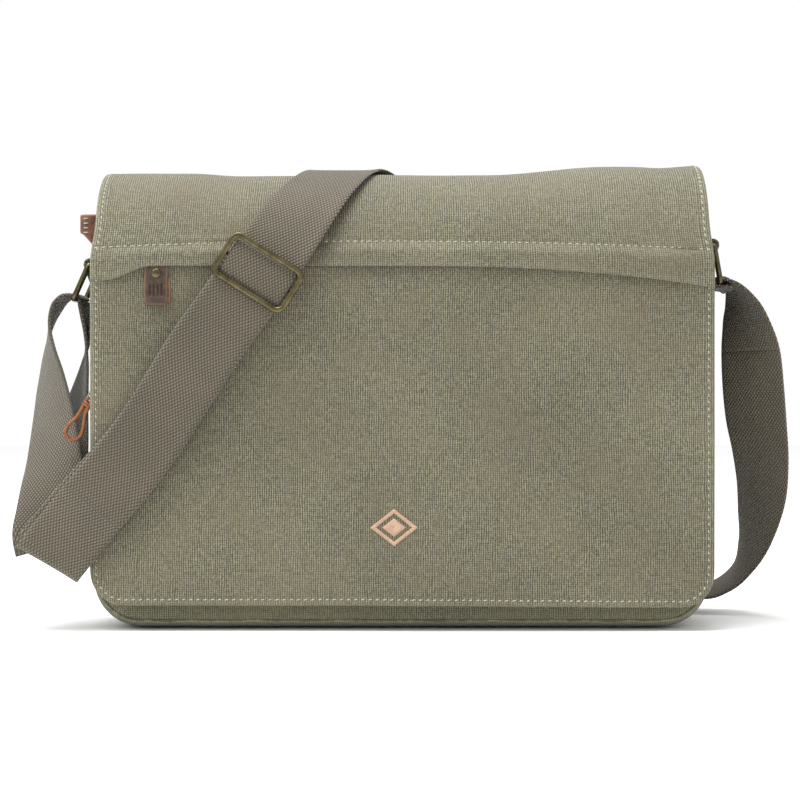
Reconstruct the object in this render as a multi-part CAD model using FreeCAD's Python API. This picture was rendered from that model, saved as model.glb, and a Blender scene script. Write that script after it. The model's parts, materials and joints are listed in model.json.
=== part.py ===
"""A canvas messenger bag with a full front flap, webbing shoulder strap and brass rings.

Frame: millimetres, +Z up, +X along the bag's width, the front faces -Y.
The origin is the middle of the flat base, and the bag stands on z = 0.
Each sub-part is written to parts/NODE.step.
"""

import FreeCAD, Part
import math
import os
from FreeCAD import Vector

# ---------------------------------------------------------------- driving dimensions
BAG_WIDTH = 419.2          # over the two side gussets
BAG_DEPTH = 100.0          # over the front and back panels
BODY_TOP = 302.0           # crown of the zipped top
CANVAS = 1.6               # canvas panel with its backing
APEX_Y = 8.0               # crown of the top lies a little behind the middle
FRONT_DOME_R = 58.0        # front half of the rounded top
BACK_DOME_R = 42.0         # back half of the rounded top
CORNER_R = 30.0            # lower corners of the front and back panels

FLAP_WIDTH = 418.0
FLAP_FRONT_R = 68.0        # inner face of the flap over the front of the top
FLAP_BACK_R = 43.5
FLAP_TOP = 312.0           # inner face of the flap at the crown
FLAP_BOTTOM = 20.0
FLAP_CORNER_R = 22.0
FLAP_THICK = 4.0           # lining, facing and outer canvas together
FLAP_LINING = 0.8
FLAP_CANVAS = 1.2
FLAP_SEAM_WIDTH = 8.0

WEB_WIDTH = 47.6           # shoulder strap webbing
WEB_THICK = 1.8
WEB_BEND_R = 3.3           # middle of the webbing, where it turns round a ring's bar
RING_ROD_R = 2.0
RING_INNER_WIDTH = 49.0
RING_REACH = 26.0          # from the upper bar's axis to the lower bar's axis
RING_X = 213.9             # upper bar's axis, from the middle of the bag
RING_Y = -5.0
LEFT, RIGHT = -1, 1
RING_Z = {LEFT: 248.5, RIGHT: 262.0}
RING_TILT = {LEFT: 24.0, RIGHT: 10.0}      # degrees out from hanging straight down

HALF = BAG_WIDTH / 2
FRONT_Y = -BAG_DEPTH / 2
BACK_Y = BAG_DEPTH / 2
FLAP_FRONT_Y = APEX_Y - FLAP_FRONT_R            # inner face of the flap's front
FLAP_OUT_Y = FLAP_FRONT_Y - FLAP_THICK          # outer face of the flap's front
FLAP_FRONT_Z = FLAP_TOP - FLAP_FRONT_R          # where the flap's front turns straight
FLAP_BACK_Z = FLAP_TOP - FLAP_BACK_R
FRONT_DOME_Z = BODY_TOP - FRONT_DOME_R
BACK_DOME_Z = BODY_TOP - BACK_DOME_R


# ---------------------------------------------------------------- small helpers
def save(node, *shapes):
    """Writes one node: one closed solid, or several side by side."""
    solids = [solid for shape in shapes for solid in shape.Solids]
    whole = solids[0] if len(solids) == 1 else Part.makeCompound(solids)
    if not whole.isValid() or min(solid.Volume for solid in solids) <= 0:
        raise ValueError(node + " is not a valid closed solid")
    whole.exportStep("parts/" + node + ".step")


def block(x0, x1, y0, y1, z0, z1):
    """A box between two corners."""
    return Part.makeBox(x1 - x0, y1 - y0, z1 - z0, Vector(x0, y0, z0))


def rounded_plate(half_x, z0, z1, y0, y1, radius, middle_x=0.0, top_radius=0.0):
    """A plate in the XZ plane with rounded lower corners, and upper ones if asked."""
    plate = block(middle_x - half_x, middle_x + half_x, y0, y1, z0, z1)
    upright = [e for e in plate.Edges if abs(e.tangentAt(e.FirstParameter).y) > 0.99]
    low = [e for e in upright if e.CenterOfMass.z < (z0 + z1) / 2]
    plate = plate.makeFillet(radius, low)
    if top_radius:
        upright = [e for e in plate.Edges if abs(e.tangentAt(e.FirstParameter).y) > 0.99]
        high = [e for e in upright if e.CenterOfMass.z > z1 - 0.1]
        plate = plate.makeFillet(top_radius, high)
    return plate


def disc(x, z, radius, y0, y1):
    """A round disc facing the front or the back."""
    return Part.makeCylinder(radius, abs(y1 - y0), Vector(x, min(y0, y1), z), Vector(0, 1, 0))


def yz(y, z):
    return Vector(0, y, z)


def unit(vector):
    made = Vector(vector)
    return made.normalize()


def arc_about(centre_y, centre_z, radius, start, stop):
    """An arc in the YZ plane, by its angles in degrees from +Y towards +Z."""
    points = []
    for angle in (start, (start + stop) / 2, stop):
        turn = math.radians(angle)
        points.append(yz(centre_y + radius * math.cos(turn), centre_z + radius * math.sin(turn)))
    return Part.Arc(*points).toShape()


def joined(edges):
    """The edges in order, with a straight edge across each gap, closed to a face."""
    whole = []
    for edge, following in zip(edges, edges[1:] + edges[:1]):
        whole.append(edge)
        end, start = edge.Vertexes[-1].Point, following.Vertexes[0].Point
        if end.distanceToPoint(start) > 1e-6:
            whole.append(Part.makeLine(end, start))
    return Part.Face(Part.Wire(whole))


def along_x(face, x0, x1):
    """A YZ face made into a solid from x0 to x1."""
    placed = face.copy()
    placed.translate(Vector(x0, 0, 0))
    return placed.extrude(Vector(x1 - x0, 0, 0))


def backwards(edge):
    """The same arc or line, drawn from its other end."""
    middle = edge.valueAt((edge.FirstParameter + edge.LastParameter) / 2)
    ends = [vertex.Point for vertex in edge.Vertexes]
    return Part.Arc(ends[1], middle, ends[0]).toShape()


def lens(half_length, half_gape, z0, z1):
    """The eye-shaped gape of an open zip, as an upright prism about the crown."""
    left, right = Vector(-half_length, APEX_Y, z0), Vector(half_length, APEX_Y, z0)
    front = Part.Arc(left, Vector(0, APEX_Y - half_gape, z0), right).toShape()
    back = Part.Arc(right, Vector(0, APEX_Y + half_gape, z0), left).toShape()
    return Part.Face(Part.Wire([front, back])).extrude(Vector(0, 0, z1 - z0))


# ---------------------------------------------------------------- webbing
def eased(stations, steps):
    """A Catmull-Rom run through hand-placed stations of (centre, width direction)."""
    points = []
    last = len(stations) - 1
    for i in range(last):
        four = [stations[min(max(i + k, 0), last)] for k in (-1, 0, 1, 2)]
        for j in range(steps if i < last - 1 else steps + 1):
            t = j / steps
            weights = (
                (-t + 2 * t * t - t ** 3) / 2,
                (2 - 5 * t * t + 3 * t ** 3) / 2,
                (t + 4 * t * t - 3 * t ** 3) / 2,
                (t ** 3 - t * t) / 2,
            )
            blended = []
            for part in (0, 1):
                total = Vector(0, 0, 0)
                for weight, station in zip(weights, four):
                    total += Vector(*station[part]) * weight
                blended.append(total)
            points.append((blended[0], blended[1]))
    return points


def framed(stations):
    """Each station as (centre, side, up), so that neighbouring lengths share their end faces."""
    found = []
    last = len(stations) - 1
    for i, (centre, across) in enumerate(stations):
        ahead = stations[min(i + 1, last)][0] - stations[max(i - 1, 0)][0]
        ahead.normalize()
        side = across - ahead * across.dot(ahead)
        side.normalize()
        found.append((centre, side, ahead.cross(side)))
    return found


def ribbon(frames, width=WEB_WIDTH, thick=WEB_THICK):
    """Flat webbing of even width and thickness through framed stations."""
    wires = []
    for centre, side, up in frames:
        corners = []
        for a, b in ((-1, -1), (1, -1), (1, 1), (-1, 1)):
            corners.append(centre + side * (a * width / 2) + up * (b * thick / 2))
        wires.append(Part.makePolygon(corners + corners[:1]))
    return Part.makeLoft(wires, True, True)


def turned_about(middle, radius, across, start_dir, degrees, steps=8):
    """Stations of webbing bent round an axis: start_dir points from the axis to the start."""
    axis = Vector(across)
    axis.normalize()
    found = []
    for i in range(steps + 1):
        turn = FreeCAD.Rotation(axis, degrees * i / steps)
        found.append((middle + turn.multVec(start_dir) * radius, Vector(across)))
    return found


# ---------------------------------------------------------------- bag body
def body_section(inset):
    """The bag's closed side outline, drawn in from its outer faces."""
    front, back, low = FRONT_Y + inset, BACK_Y - inset, inset
    up_back = arc_about(APEX_Y, BACK_DOME_Z, BACK_DOME_R - inset, 0, 90)
    over_front = arc_about(APEX_Y, FRONT_DOME_Z, FRONT_DOME_R - inset, 90, 180)
    base = Part.makeLine(yz(front, low), yz(back, low))
    return joined([base, up_back, over_front])


def dome_band(outer, inner, front):
    """Half of the rounded top between two insets, cut off at the crown."""
    if front:
        centre_z, radius, start, stop = FRONT_DOME_Z, FRONT_DOME_R, 180, 90
    else:
        centre_z, radius, start, stop = BACK_DOME_Z, BACK_DOME_R, 0, 90
    outside = arc_about(APEX_Y, centre_z, radius - outer, start, stop)
    inside = arc_about(APEX_Y, centre_z, radius - inner, stop, start)
    return joined([outside, inside])


MOUTH_HALF_LENGTH = 172.0
MOUTH_HALF_GAPE = 20.0
TAPE_WIDTH = 9.0


def bag_body():
    save("front_panel", rounded_plate(HALF, 0, FRONT_DOME_Z, FRONT_Y, FRONT_Y + CANVAS, CORNER_R))
    save("back_panel", rounded_plate(HALF, 0, BACK_DOME_Z, BACK_Y - CANVAS, BACK_Y, CORNER_R))
    gusset = along_x(body_section(CANVAS), 0, CANVAS)
    gusset = gusset.cut(block(-5, 5, -80, 80, -1, CORNER_R))
    for side, x in (("left", -HALF), ("right", HALF - CANVAS)):
        placed = gusset.copy()
        placed.translate(Vector(x, 0, 0))
        save("side_gusset_" + side, placed)
    outer = rounded_plate(HALF, 0, CORNER_R * 2, FRONT_Y + CANVAS, BACK_Y - CANVAS, CORNER_R)
    inner = rounded_plate(HALF - CANVAS, CANVAS, CORNER_R * 3, FRONT_Y, BACK_Y, CORNER_R - CANVAS)
    base = outer.cut(inner).cut(block(-HALF - 1, HALF + 1, -80, 80, CORNER_R, CORNER_R * 3))
    save("base_panel", base)
    hole = lens(MOUTH_HALF_LENGTH + 6, MOUTH_HALF_GAPE + TAPE_WIDTH, 280, 320)
    for name, front in (("top_panel_front", True), ("top_panel_back", False)):
        save(name, along_x(dome_band(0, CANVAS, front), -HALF, HALF).cut(hole))


def main_zip():
    """The top zip stands open: two tapes part in an eye shape, with the slider at the left end."""
    mouth = lens(MOUTH_HALF_LENGTH, MOUTH_HALF_GAPE, 280, 320)
    hole = lens(MOUTH_HALF_LENGTH + 6, MOUTH_HALF_GAPE + TAPE_WIDTH, 280, 320)
    hem = lens(MOUTH_HALF_LENGTH + 1.2, MOUTH_HALF_GAPE + 2.2, 280, 320)
    for name, front in (("main_zip_tape_front", True), ("main_zip_tape_back", False)):
        band = along_x(dome_band(0.2, 1.2, front), -HALF, HALF)
        save(name, band.common(hole).cut(mouth))
    teeth = []
    for front in (True, False):
        row = along_x(dome_band(-1.6, 0.2, front), -HALF, HALF).common(hem).cut(mouth)
        teeth.append(row.cut(block(-HALF, -MOUTH_HALF_LENGTH + 14, -80, 80, 280, 320)))
    save("main_zip_teeth", *teeth)
    slider_x = -MOUTH_HALF_LENGTH + 6
    body = block(slider_x - 6, slider_x + 6, APEX_Y - 4.5, APEX_Y + 4.5, BODY_TOP + 0.3, BODY_TOP + 3.0)
    bridge = block(slider_x - 3, slider_x + 3, APEX_Y - 1, APEX_Y + 1, BODY_TOP + 3.0, BODY_TOP + 5.2)
    eye = block(slider_x - 1.6, slider_x + 1.6, APEX_Y - 2, APEX_Y + 2, BODY_TOP + 3.0, BODY_TOP + 4.4)
    save("main_zip_slider", body.fuse(bridge.cut(eye)).removeSplitter())
    link = block(slider_x - 12, slider_x + 1.1, APEX_Y - 3, APEX_Y + 3, BODY_TOP + 3.2, BODY_TOP + 4.2)
    slot = block(slider_x - 5, slider_x - 0.6, APEX_Y - 1.4, APEX_Y + 1.4, BODY_TOP, BODY_TOP + 9)
    save("main_pull_link", link.cut(slot).cut(block(slider_x - 1, slider_x + 2, APEX_Y - 4, APEX_Y - 0.99,
         BODY_TOP, BODY_TOP + 9)))
    leather = block(slider_x - 36, slider_x - 12, APEX_Y - 7, APEX_Y + 7, BODY_TOP + 2.6, BODY_TOP + 5.0)
    save("main_pull_leather", leather)
    tab = block(-HALF - 4.4, -HALF - 0.2, -27.0, -12.0, 259.0, 283.0)
    save("main_zip_end_tab", tab.cut(block(-HALF - 3.2, -HALF - 1.4, -28, -11, 262.0, 284.0)))


def inside():
    """Lining, the padded laptop divider and a slip pocket."""
    gap, cloth = 0.5, 0.8
    wall = CANVAS + gap
    outside = rounded_plate(HALF - wall, wall, 236, FRONT_Y + wall, BACK_Y - wall, CORNER_R - wall)
    hollow = rounded_plate(HALF - wall - cloth, wall + cloth, 300, FRONT_Y + wall + cloth,
                           BACK_Y - wall - cloth, CORNER_R - wall - cloth)
    save("lining", outside.cut(hollow))
    divider = rounded_plate(185, 4.0, 215, 26.0, 31.0, 20.0, top_radius=12.0)
    save("laptop_divider", divider)
    pocket = rounded_plate(110, 60, 190, -42.0, -40.8, 10.0)
    pocket_side = rounded_plate(110, 60, 190, -46.9, -42.0, 10.0)
    pocket_side = pocket_side.cut(rounded_plate(108.8, 61.2, 200, -47.2, -41.5, 9.0))
    save("inner_slip_pocket", pocket.fuse(pocket_side).removeSplitter())


# ---------------------------------------------------------------- front and back pockets
FRONT_ZIP_Z = 166.0
BACK_ZIP_Z = 196.0


def flat_zip(name, z, half_length, surface_y, out):
    """A closed zip on a flat panel. out is -1 on the front and 1 on the back."""
    tape_y = sorted((surface_y + out * 0.2, surface_y + out * 1.0))
    teeth_y = sorted((surface_y + out * 1.0, surface_y + out * 2.3))
    save(name + "_zip_tape", block(-half_length, half_length, *tape_y, z - 9, z + 9))
    save(name + "_zip_teeth", block(-half_length + 2, half_length - 2, *teeth_y, z - 1.6, z + 1.6))


def slider_body(x, z, inner_y, out):
    """A zip slider with its bridge, standing on the teeth of a flat zip."""
    low = sorted((inner_y, inner_y + out * 1.5))
    high = sorted((inner_y + out * 1.5, inner_y + out * 2.9))
    plate = block(x - 5.5, x + 5.5, *low, z - 4.2, z + 4.2)
    post = block(x - 1.2, x + 1.2, *high, z - 2.4, z + 2.4)
    return plate.fuse(post).removeSplitter()


def front_pocket():
    outer = rounded_plate(196, 26, FRONT_ZIP_Z - 10, FRONT_Y - 4.2, FRONT_Y - 0.1, 26)
    hollow = rounded_plate(194.8, 27.2, FRONT_ZIP_Z - 11, FRONT_Y - 3.2, FRONT_Y, 25)
    save("front_pocket", outer.cut(hollow))
    flat_zip("front_pocket", FRONT_ZIP_Z, HALF - 0.6, FRONT_Y, -1)
    x = -HALF + 7.0
    teeth_face = FRONT_Y - 2.5
    save("front_zip_slider", slider_body(x, FRONT_ZIP_Z, teeth_face, -1))
    # A steel link, then a leather lace doubled into a long loop that leans out to the left.
    lean = FreeCAD.Rotation(Vector(0, 1, 0), 26)
    pivot = Vector(x - 3.4, teeth_face - 3.9, FRONT_ZIP_Z - 2.0)
    link = block(-1.4, 1.4, -0.8, 0.8, -14.0, -1.0)
    lace_outer = Part.makeCylinder(6.2, 3.0, Vector(0, -1.5, -36.0), Vector(0, 1, 0))
    lace_outer = lace_outer.fuse(block(-2.6, 2.6, -1.5, 1.5, -36.0, -12.0)).removeSplitter()
    eye = Part.makeCylinder(3.6, 4.0, Vector(0, -2.0, -36.0), Vector(0, 1, 0))
    lace = lace_outer.cut(eye).cut(block(-1.5, 1.5, -1.6, 1.6, -14.2, -11.0))
    for name, shape in (("front_pull_link", link), ("front_pull_lace", lace)):
        shape.Placement = FreeCAD.Placement(pivot, lean)
        save(name, shape)


def back_pocket():
    save("back_pocket", rounded_plate(150, 50, BACK_ZIP_Z - 10, BACK_Y + 0.1, BACK_Y + 1.3, 16))
    flat_zip("back_pocket", BACK_ZIP_Z, 152, BACK_Y, 1)
    x = -140.0
    teeth_face = BACK_Y + 2.5
    save("back_zip_slider", slider_body(x, BACK_ZIP_Z, teeth_face, 1))
    save("back_pull_leather", rounded_plate(6.5, BACK_ZIP_Z - 33, BACK_ZIP_Z - 5.2, teeth_face + 0.5,
         teeth_face + 2.9, 3.0, middle_x=x, top_radius=2.0))


# ---------------------------------------------------------------- flap
def flap_band(low, high, front_z=FLAP_BOTTOM):
    """The flap's side outline between two offsets from its inner face, from the back seam
    over the crown and down the front."""
    path = []
    for offset in (high, low):
        back = arc_about(APEX_Y, FLAP_BACK_Z, FLAP_BACK_R + offset, 0, 90)
        front = arc_about(APEX_Y, FLAP_FRONT_Z, FLAP_FRONT_R + offset, 90, 180)
        face_y = FLAP_FRONT_Y - offset
        drop = Part.makeLine(yz(face_y, FLAP_FRONT_Z), yz(face_y, front_z))
        path.append([back, front, drop])
    back, front, drop = path[1]
    returned = [Part.makeLine(drop.Vertexes[1].Point, drop.Vertexes[0].Point), backwards(front), backwards(back)]
    return joined(path[0] + returned)


def flap_mask():
    """Everything inside the flap's outline as seen from the front."""
    return rounded_plate(FLAP_WIDTH / 2, FLAP_BOTTOM, 400, -120, 120, FLAP_CORNER_R)


LIP_TOP_Z = 262.0
LIP_EDGE_Z = 247.4
POCKET_EDGE_Z = 248.0
FLAP_ZIP_Z = 252.6
FLAP_PULL_X = -164.0


def flap():
    half, mask = FLAP_WIDTH / 2, flap_mask()
    save("flap_lining", along_x(flap_band(0, FLAP_LINING), -half, half).common(mask))
    inner, outer = FLAP_LINING, FLAP_THICK - FLAP_CANVAS
    facing = along_x(flap_band(inner, outer), -half, half)
    facing = facing.cut(block(-half + FLAP_SEAM_WIDTH, half - FLAP_SEAM_WIDTH, -90, 90,
                              FLAP_BOTTOM + FLAP_SEAM_WIDTH, 330))
    save("flap_edge_facing", facing.common(mask))
    # The upper canvas runs from the back seam to the stitch line, then stands out as a lip over the zip.
    wrap = along_x(flap_band(outer, FLAP_THICK), -half, half)
    wrap = wrap.cut(block(-half, half, -90, APEX_Y, 0, LIP_TOP_Z))
    step = math.asin((LIP_TOP_Z - FLAP_FRONT_Z) / (FLAP_FRONT_R + FLAP_THICK))
    top_y = APEX_Y - (FLAP_FRONT_R + FLAP_THICK) * math.cos(step)
    shoulder_z, lip_y, cloth = LIP_TOP_Z - 5.5, FLAP_OUT_Y - 3.7, FLAP_CANVAS
    lip = Part.makePolygon([
        yz(top_y, LIP_TOP_Z), yz(lip_y, shoulder_z), yz(lip_y, LIP_EDGE_Z),
        yz(lip_y + cloth, LIP_EDGE_Z), yz(lip_y + cloth, shoulder_z - 0.7),
        yz(top_y + cloth, LIP_TOP_Z - 0.9), yz(top_y + cloth, LIP_TOP_Z), yz(top_y, LIP_TOP_Z)])
    save("flap_upper_canvas", wrap.fuse(along_x(Part.Face(lip), -half, half)).removeSplitter())
    lower = rounded_plate(half, FLAP_BOTTOM, POCKET_EDGE_Z - 4.2, FLAP_OUT_Y, FLAP_OUT_Y + FLAP_CANVAS,
                          FLAP_CORNER_R)
    save("flap_lower_canvas", lower)
    bag = rounded_plate(192, 60, POCKET_EDGE_Z, FLAP_OUT_Y + 1.9, FLAP_OUT_Y + 2.7, 12)
    save("flap_pocket_bag", bag)
    tape = block(-198, 198, FLAP_OUT_Y + 0.9, FLAP_OUT_Y + 1.7, FLAP_ZIP_Z - 8, FLAP_ZIP_Z + 5)
    save("flap_zip_tape", tape)
    save("flap_zip_teeth", block(-196, 196, FLAP_OUT_Y - 0.3, FLAP_OUT_Y + 0.9, FLAP_ZIP_Z - 1.4, FLAP_ZIP_Z + 1.4))
    slider = block(FLAP_PULL_X - 5, FLAP_PULL_X + 5, FLAP_OUT_Y - 1.9, FLAP_OUT_Y - 0.5,
                   FLAP_ZIP_Z - 3.6, FLAP_ZIP_Z + 2.6)
    save("flap_zip_slider", slider)
    link = block(FLAP_PULL_X - 3, FLAP_PULL_X + 3, FLAP_OUT_Y - 1.5, FLAP_OUT_Y - 0.7, 245.2, FLAP_ZIP_Z - 3.9)
    save("flap_pull_link", link)
    leather = rounded_plate(8.4, 219.0, 245.0, FLAP_OUT_Y - 3.2, FLAP_OUT_Y - 0.4, 3.0, middle_x=FLAP_PULL_X)
    save("flap_pull_leather", leather)
    save("flap_pull_rivet", disc(FLAP_PULL_X, 240.4, 2.8, FLAP_OUT_Y - 3.9, FLAP_OUT_Y - 3.2))
    flap_emblem()


def flap_emblem():
    """A small raised embroidery of two nested lozenges, low in the middle of the flap."""
    shapes = []
    for outer, inner in ((1.0, 0.72), (0.42, 0.0)):
        faces = []
        for share in (outer, inner):
            x, z = 16.0 * share, 12.0 * share
            if share:
                corners = [(-5 - x, 70), (-5, 70 - z), (-5 + x, 70), (-5, 70 + z), (-5 - x, 70)]
                wire = Part.makePolygon([Vector(cx, FLAP_OUT_Y, cz) for cx, cz in corners])
                faces.append(Part.Face(wire).extrude(Vector(0, -0.5, 0)))
        shapes.append(faces[0].cut(faces[1]) if len(faces) > 1 else faces[0])
    save("flap_emblem", *shapes)


def flap_back_hem():
    """The strip of the flap that is sewn flat to the back panel below the fold."""
    save("flap_back_hem", block(-FLAP_WIDTH / 2, FLAP_WIDTH / 2, BACK_Y + 0.1, BACK_Y + 4.0, 246.0, 266.0))


def magnets():
    """Two magnetic snaps: sockets on the front pocket, discs under the flap."""
    pocket_face = FRONT_Y - 4.2
    save("magnet_sockets", *[disc(x, 58, 9.0, pocket_face, pocket_face - 2.2) for x in (-120, 120)])
    save("magnet_discs", *[disc(x, 58, 9.0, FLAP_FRONT_Y, FLAP_FRONT_Y + 3.0) for x in (-120, 120)])


# ---------------------------------------------------------------- rings and their tabs
def lower_bar(side):
    """The middle of a ring's lower bar. side is LEFT or RIGHT."""
    turn = math.radians(RING_TILT[side])
    x = side * (RING_X + RING_REACH * math.sin(turn))
    return Vector(x, RING_Y, RING_Z[side] - RING_REACH * math.cos(turn))


def ring(side):
    """A rectangular ring of round brass rod with rounded corners."""
    half_y, corner = RING_INNER_WIDTH / 2 + RING_ROD_R, 3.2
    arcs = []
    spots = [(-half_y, 0), (half_y, 0), (half_y, -RING_REACH), (-half_y, -RING_REACH)]
    for i, (y, z) in enumerate(spots):
        here = yz(y, z)
        to_before = unit(yz(*spots[i - 1]) - here)
        to_after = unit(yz(*spots[(i + 1) % 4]) - here)
        start, end = here + to_before * corner, here + to_after * corner
        centre = start + to_after * corner
        arcs.append((start, centre + unit(here - centre) * corner, end))
    edges = []
    for i, (start, middle, end) in enumerate(arcs):
        edges.append(Part.Arc(start, middle, end).toShape())
        edges.append(Part.makeLine(end, arcs[(i + 1) % 4][0]))
    profile = Part.Wire(Part.makeCircle(RING_ROD_R, arcs[0][2], Vector(0, 1, 0)))
    body = Part.Wire(edges).makePipeShell([profile], True, True)
    body.Placement = FreeCAD.Placement(Vector(side * RING_X, RING_Y, RING_Z[side]),
                                       FreeCAD.Rotation(Vector(0, 1, 0), -side * RING_TILT[side]))
    return body


TAB_LOW_Z = 152.0


def ring_tab(side):
    """Webbing sewn up the gusset, over the ring's upper bar and back down on itself."""
    across = Vector(0, 1, 0)
    inner_x = side * (HALF + 0.1 + WEB_THICK / 2)
    outer_x = side * (HALF + 0.3 + WEB_THICK * 1.5)
    bar_z = RING_Z[side]
    bar = Vector(side * RING_X, RING_Y, bar_z)
    inner = [(Vector(inner_x, RING_Y, z), across) for z in (TAB_LOW_Z, bar_z - 30, bar_z - 6)]
    over = turned_about(bar, WEB_BEND_R, Vector(0, side, 0), Vector(-side, 0, 0), 195, 11)
    over = [(centre, across) for centre, _ in over]
    outer = [(Vector(outer_x + side * 0.4, RING_Y, bar_z - 12), across)]
    outer += [(Vector(outer_x, RING_Y, z), across) for z in (bar_z - 18, TAB_LOW_Z)]
    return ribbon(framed(inner + over + outer))


def rings():
    for name, side in (("left", LEFT), ("right", RIGHT)):
        save(name + "_ring", ring(side))
        save(name + "_ring_tab", ring_tab(side))


# ---------------------------------------------------------------- shoulder strap
STRAP_SLOPE = 0.731            # sideways run of the strap for each unit of height, on the front
STRAP_LEAN = 0.0446            # how much the front run leans out from the flap as it rises
STRAP_SLIDER_Z = 240.0
STRAP_SLIDER_OFF = 14.2        # strap's middle plane from the flap's face at the slider
STRAP_TOP_Z = 317.4            # strap's middle plane where it crosses the crown
STRAP_BACK_Y = 57.6
FOLD_Z = 50.0                  # height where the strap turns back at the lower left
FOLD_R = 5.0
FOLD_SKEW = 6.0                # degrees that the fold's edge is off square to the strap
UNDER_FOLD_SKEW = 14.0         # the same, for the second layer
UNDER_ASIDE = 3.0              # how far the second layer lies up and left of the first at the fold
STRAP_X_AT_232 = -100.9        # middle of the strap at a height of 232
BOW = 6.0                      # how far the front run bows to the lower right
BOW_TOP_Z = 200.0
LAYER_GAP = 2.4                # between the middle planes of the strap's two layers


def strap_x(z):
    """Middle of the strap's front run at a height: straight, but for a slight bow above the fold."""
    share = min(max((z - FOLD_Z) / (BOW_TOP_Z - FOLD_Z), 0.0), 1.0)
    return STRAP_X_AT_232 + STRAP_SLOPE * (z - 232.0) + BOW * math.sin(math.pi * share) ** 2


def strap_y(z):
    """Middle plane of the strap's outer layer on the front at a height."""
    return FLAP_OUT_Y - STRAP_SLIDER_OFF - STRAP_LEAN * (z - STRAP_SLIDER_Z)


FRONT_HEADING = unit(Vector(STRAP_SLOPE, -STRAP_LEAN, 1.0))     # up the front run
FRONT_ACROSS = unit(Vector(1.0, 0.0, -STRAP_SLOPE))             # across it
FRONT_OUT = FRONT_HEADING.cross(FRONT_ACROSS)                   # away from the flap
if FRONT_OUT.y > 0:
    FRONT_OUT = FRONT_OUT * -1
# Arc of the strap over the front of the crown, tangent to the front run.
LINE_AT_0 = strap_y(0.0)
TOP_ARC_R = (APEX_Y - LINE_AT_0 + STRAP_LEAN * STRAP_TOP_Z) / (math.hypot(1, STRAP_LEAN) + STRAP_LEAN)
TOP_ARC_Z = STRAP_TOP_Z - TOP_ARC_R
TOP_ARC_LOW = math.degrees(math.atan(STRAP_LEAN))
TANGENT_Z = TOP_ARC_Z - TOP_ARC_R * math.sin(math.radians(TOP_ARC_LOW))
CROWN_X = -38.0
BACK_ARC_R = STRAP_BACK_Y - APEX_Y
BACK_ARC_Z = STRAP_TOP_Z - BACK_ARC_R
BACK_X = 2.0                   # strap's middle where it passes the flap's back seam
BACK_RUN_END = 20.0            # how far below the top's back tangent the length on the back ends
BACK_RISE_SLOPE = 0.81         # sideways run of the strap for each unit of height, on the back


def front_run_point(z):
    return Vector(strap_x(z), strap_y(z), z)


def over_crown(share):
    """A station from the front tangent (0) over the crown (0.5) to the back seam (1)."""
    if share <= 0.5:
        t = share * 2
        angle = math.radians(180 + TOP_ARC_LOW - t * (90 + TOP_ARC_LOW))
        y, z = APEX_Y + TOP_ARC_R * math.cos(angle), TOP_ARC_Z + TOP_ARC_R * math.sin(angle)
        start = strap_x(TANGENT_Z)
        slope = STRAP_SLOPE * TOP_ARC_R * math.radians(90 + TOP_ARC_LOW)
        rest = CROWN_X - start - slope
        x = start + slope * t + rest * t * t
        dx = slope + 2 * rest * t
        ds = TOP_ARC_R * math.radians(90 + TOP_ARC_LOW)
        ahead = Vector(0, math.sin(angle), -math.cos(angle))
    else:
        t = share * 2 - 1
        angle = math.radians(90 - t * 90)
        y, z = APEX_Y + BACK_ARC_R * math.cos(angle), BACK_ARC_Z + BACK_ARC_R * math.sin(angle)
        x = CROWN_X + (BACK_X - CROWN_X) * t
        dx, ds = BACK_X - CROWN_X, BACK_ARC_R * math.pi / 2
        ahead = Vector(0, math.sin(angle), -math.cos(angle))
    slope = dx / ds
    across = Vector(1, 0, 0) - ahead * slope
    return Vector(x, y, z), unit(across)


def strap_over_crown(first, last, steps):
    return [over_crown(first + (last - first) * i / steps) for i in range(steps + 1)]


# The strap's free lengths: centre of the webbing, and its width direction.
# From the fold at the lower left up to the left ring, the length that lies in front:
LEFT_OUTER = [
    ((-237.6, -60.5, 66.0), (0.98, -0.02, -0.17)),
    ((-236.8, -55.5, 80.0), (0.96, -0.18, -0.14)),
    ((-236.4, -48.5, 97.0), (0.93, -0.34, -0.08)),
    ((-236.8, -40.5, 115.0), (0.85, -0.53, -0.04)),
    ((-238.6, -32.0, 133.0), (0.74, -0.67, 0.0)),
    ((-240.8, -24.0, 151.0), (0.62, -0.78, 0.0)),
    ((-243.2, -17.0, 169.0), (0.49, -0.87, 0.0)),
    ((-245.2, -11.5, 186.0), (0.32, -0.95, 0.0)),
    ((-245.4, -8.0, 199.0), (0.18, -0.98, 0.0)),
    ((-243.8, -6.0, 210.5), (0.08, -1.0, 0.0)),
    ((-240.0, -5.0, 220.0), (0.0, -1.0, 0.0)),
    ((-235.6, -5.0, 225.6), (0.0, -1.0, 0.0)),
    ((-231.6, -5.0, 227.8), (0.0, -1.0, 0.0)),
]
# The same, for the length that hangs from the ring's inner side, behind it:
LEFT_INNER = [
    ((-233.2, -57.8, 62.0), (0.90, -0.03, -0.42)),
    ((-233.4, -50.2, 78.0), (0.88, -0.27, -0.30)),
    ((-233.6, -40.0, 97.0), (0.82, -0.52, -0.16)),
    ((-231.0, -29.5, 118.0), (0.70, -0.70, -0.08)),
    ((-227.8, -20.0, 139.0), (0.54, -0.84, 0.0)),
    ((-224.4, -12.5, 160.0), (0.37, -0.93, 0.0)),
    ((-221.4, -8.0, 177.0), (0.24, -0.97, 0.0)),
    ((-219.4, -6.0, 191.0), (0.13, -0.99, 0.0)),
    ((-218.6, -5.2, 203.0), (0.04, -1.0, 0.0)),
    ((-219.6, -5.0, 213.0), (0.0, -1.0, 0.0)),
    ((-221.0, -5.0, 220.3), (0.0, -1.0, 0.0)),
]
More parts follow.
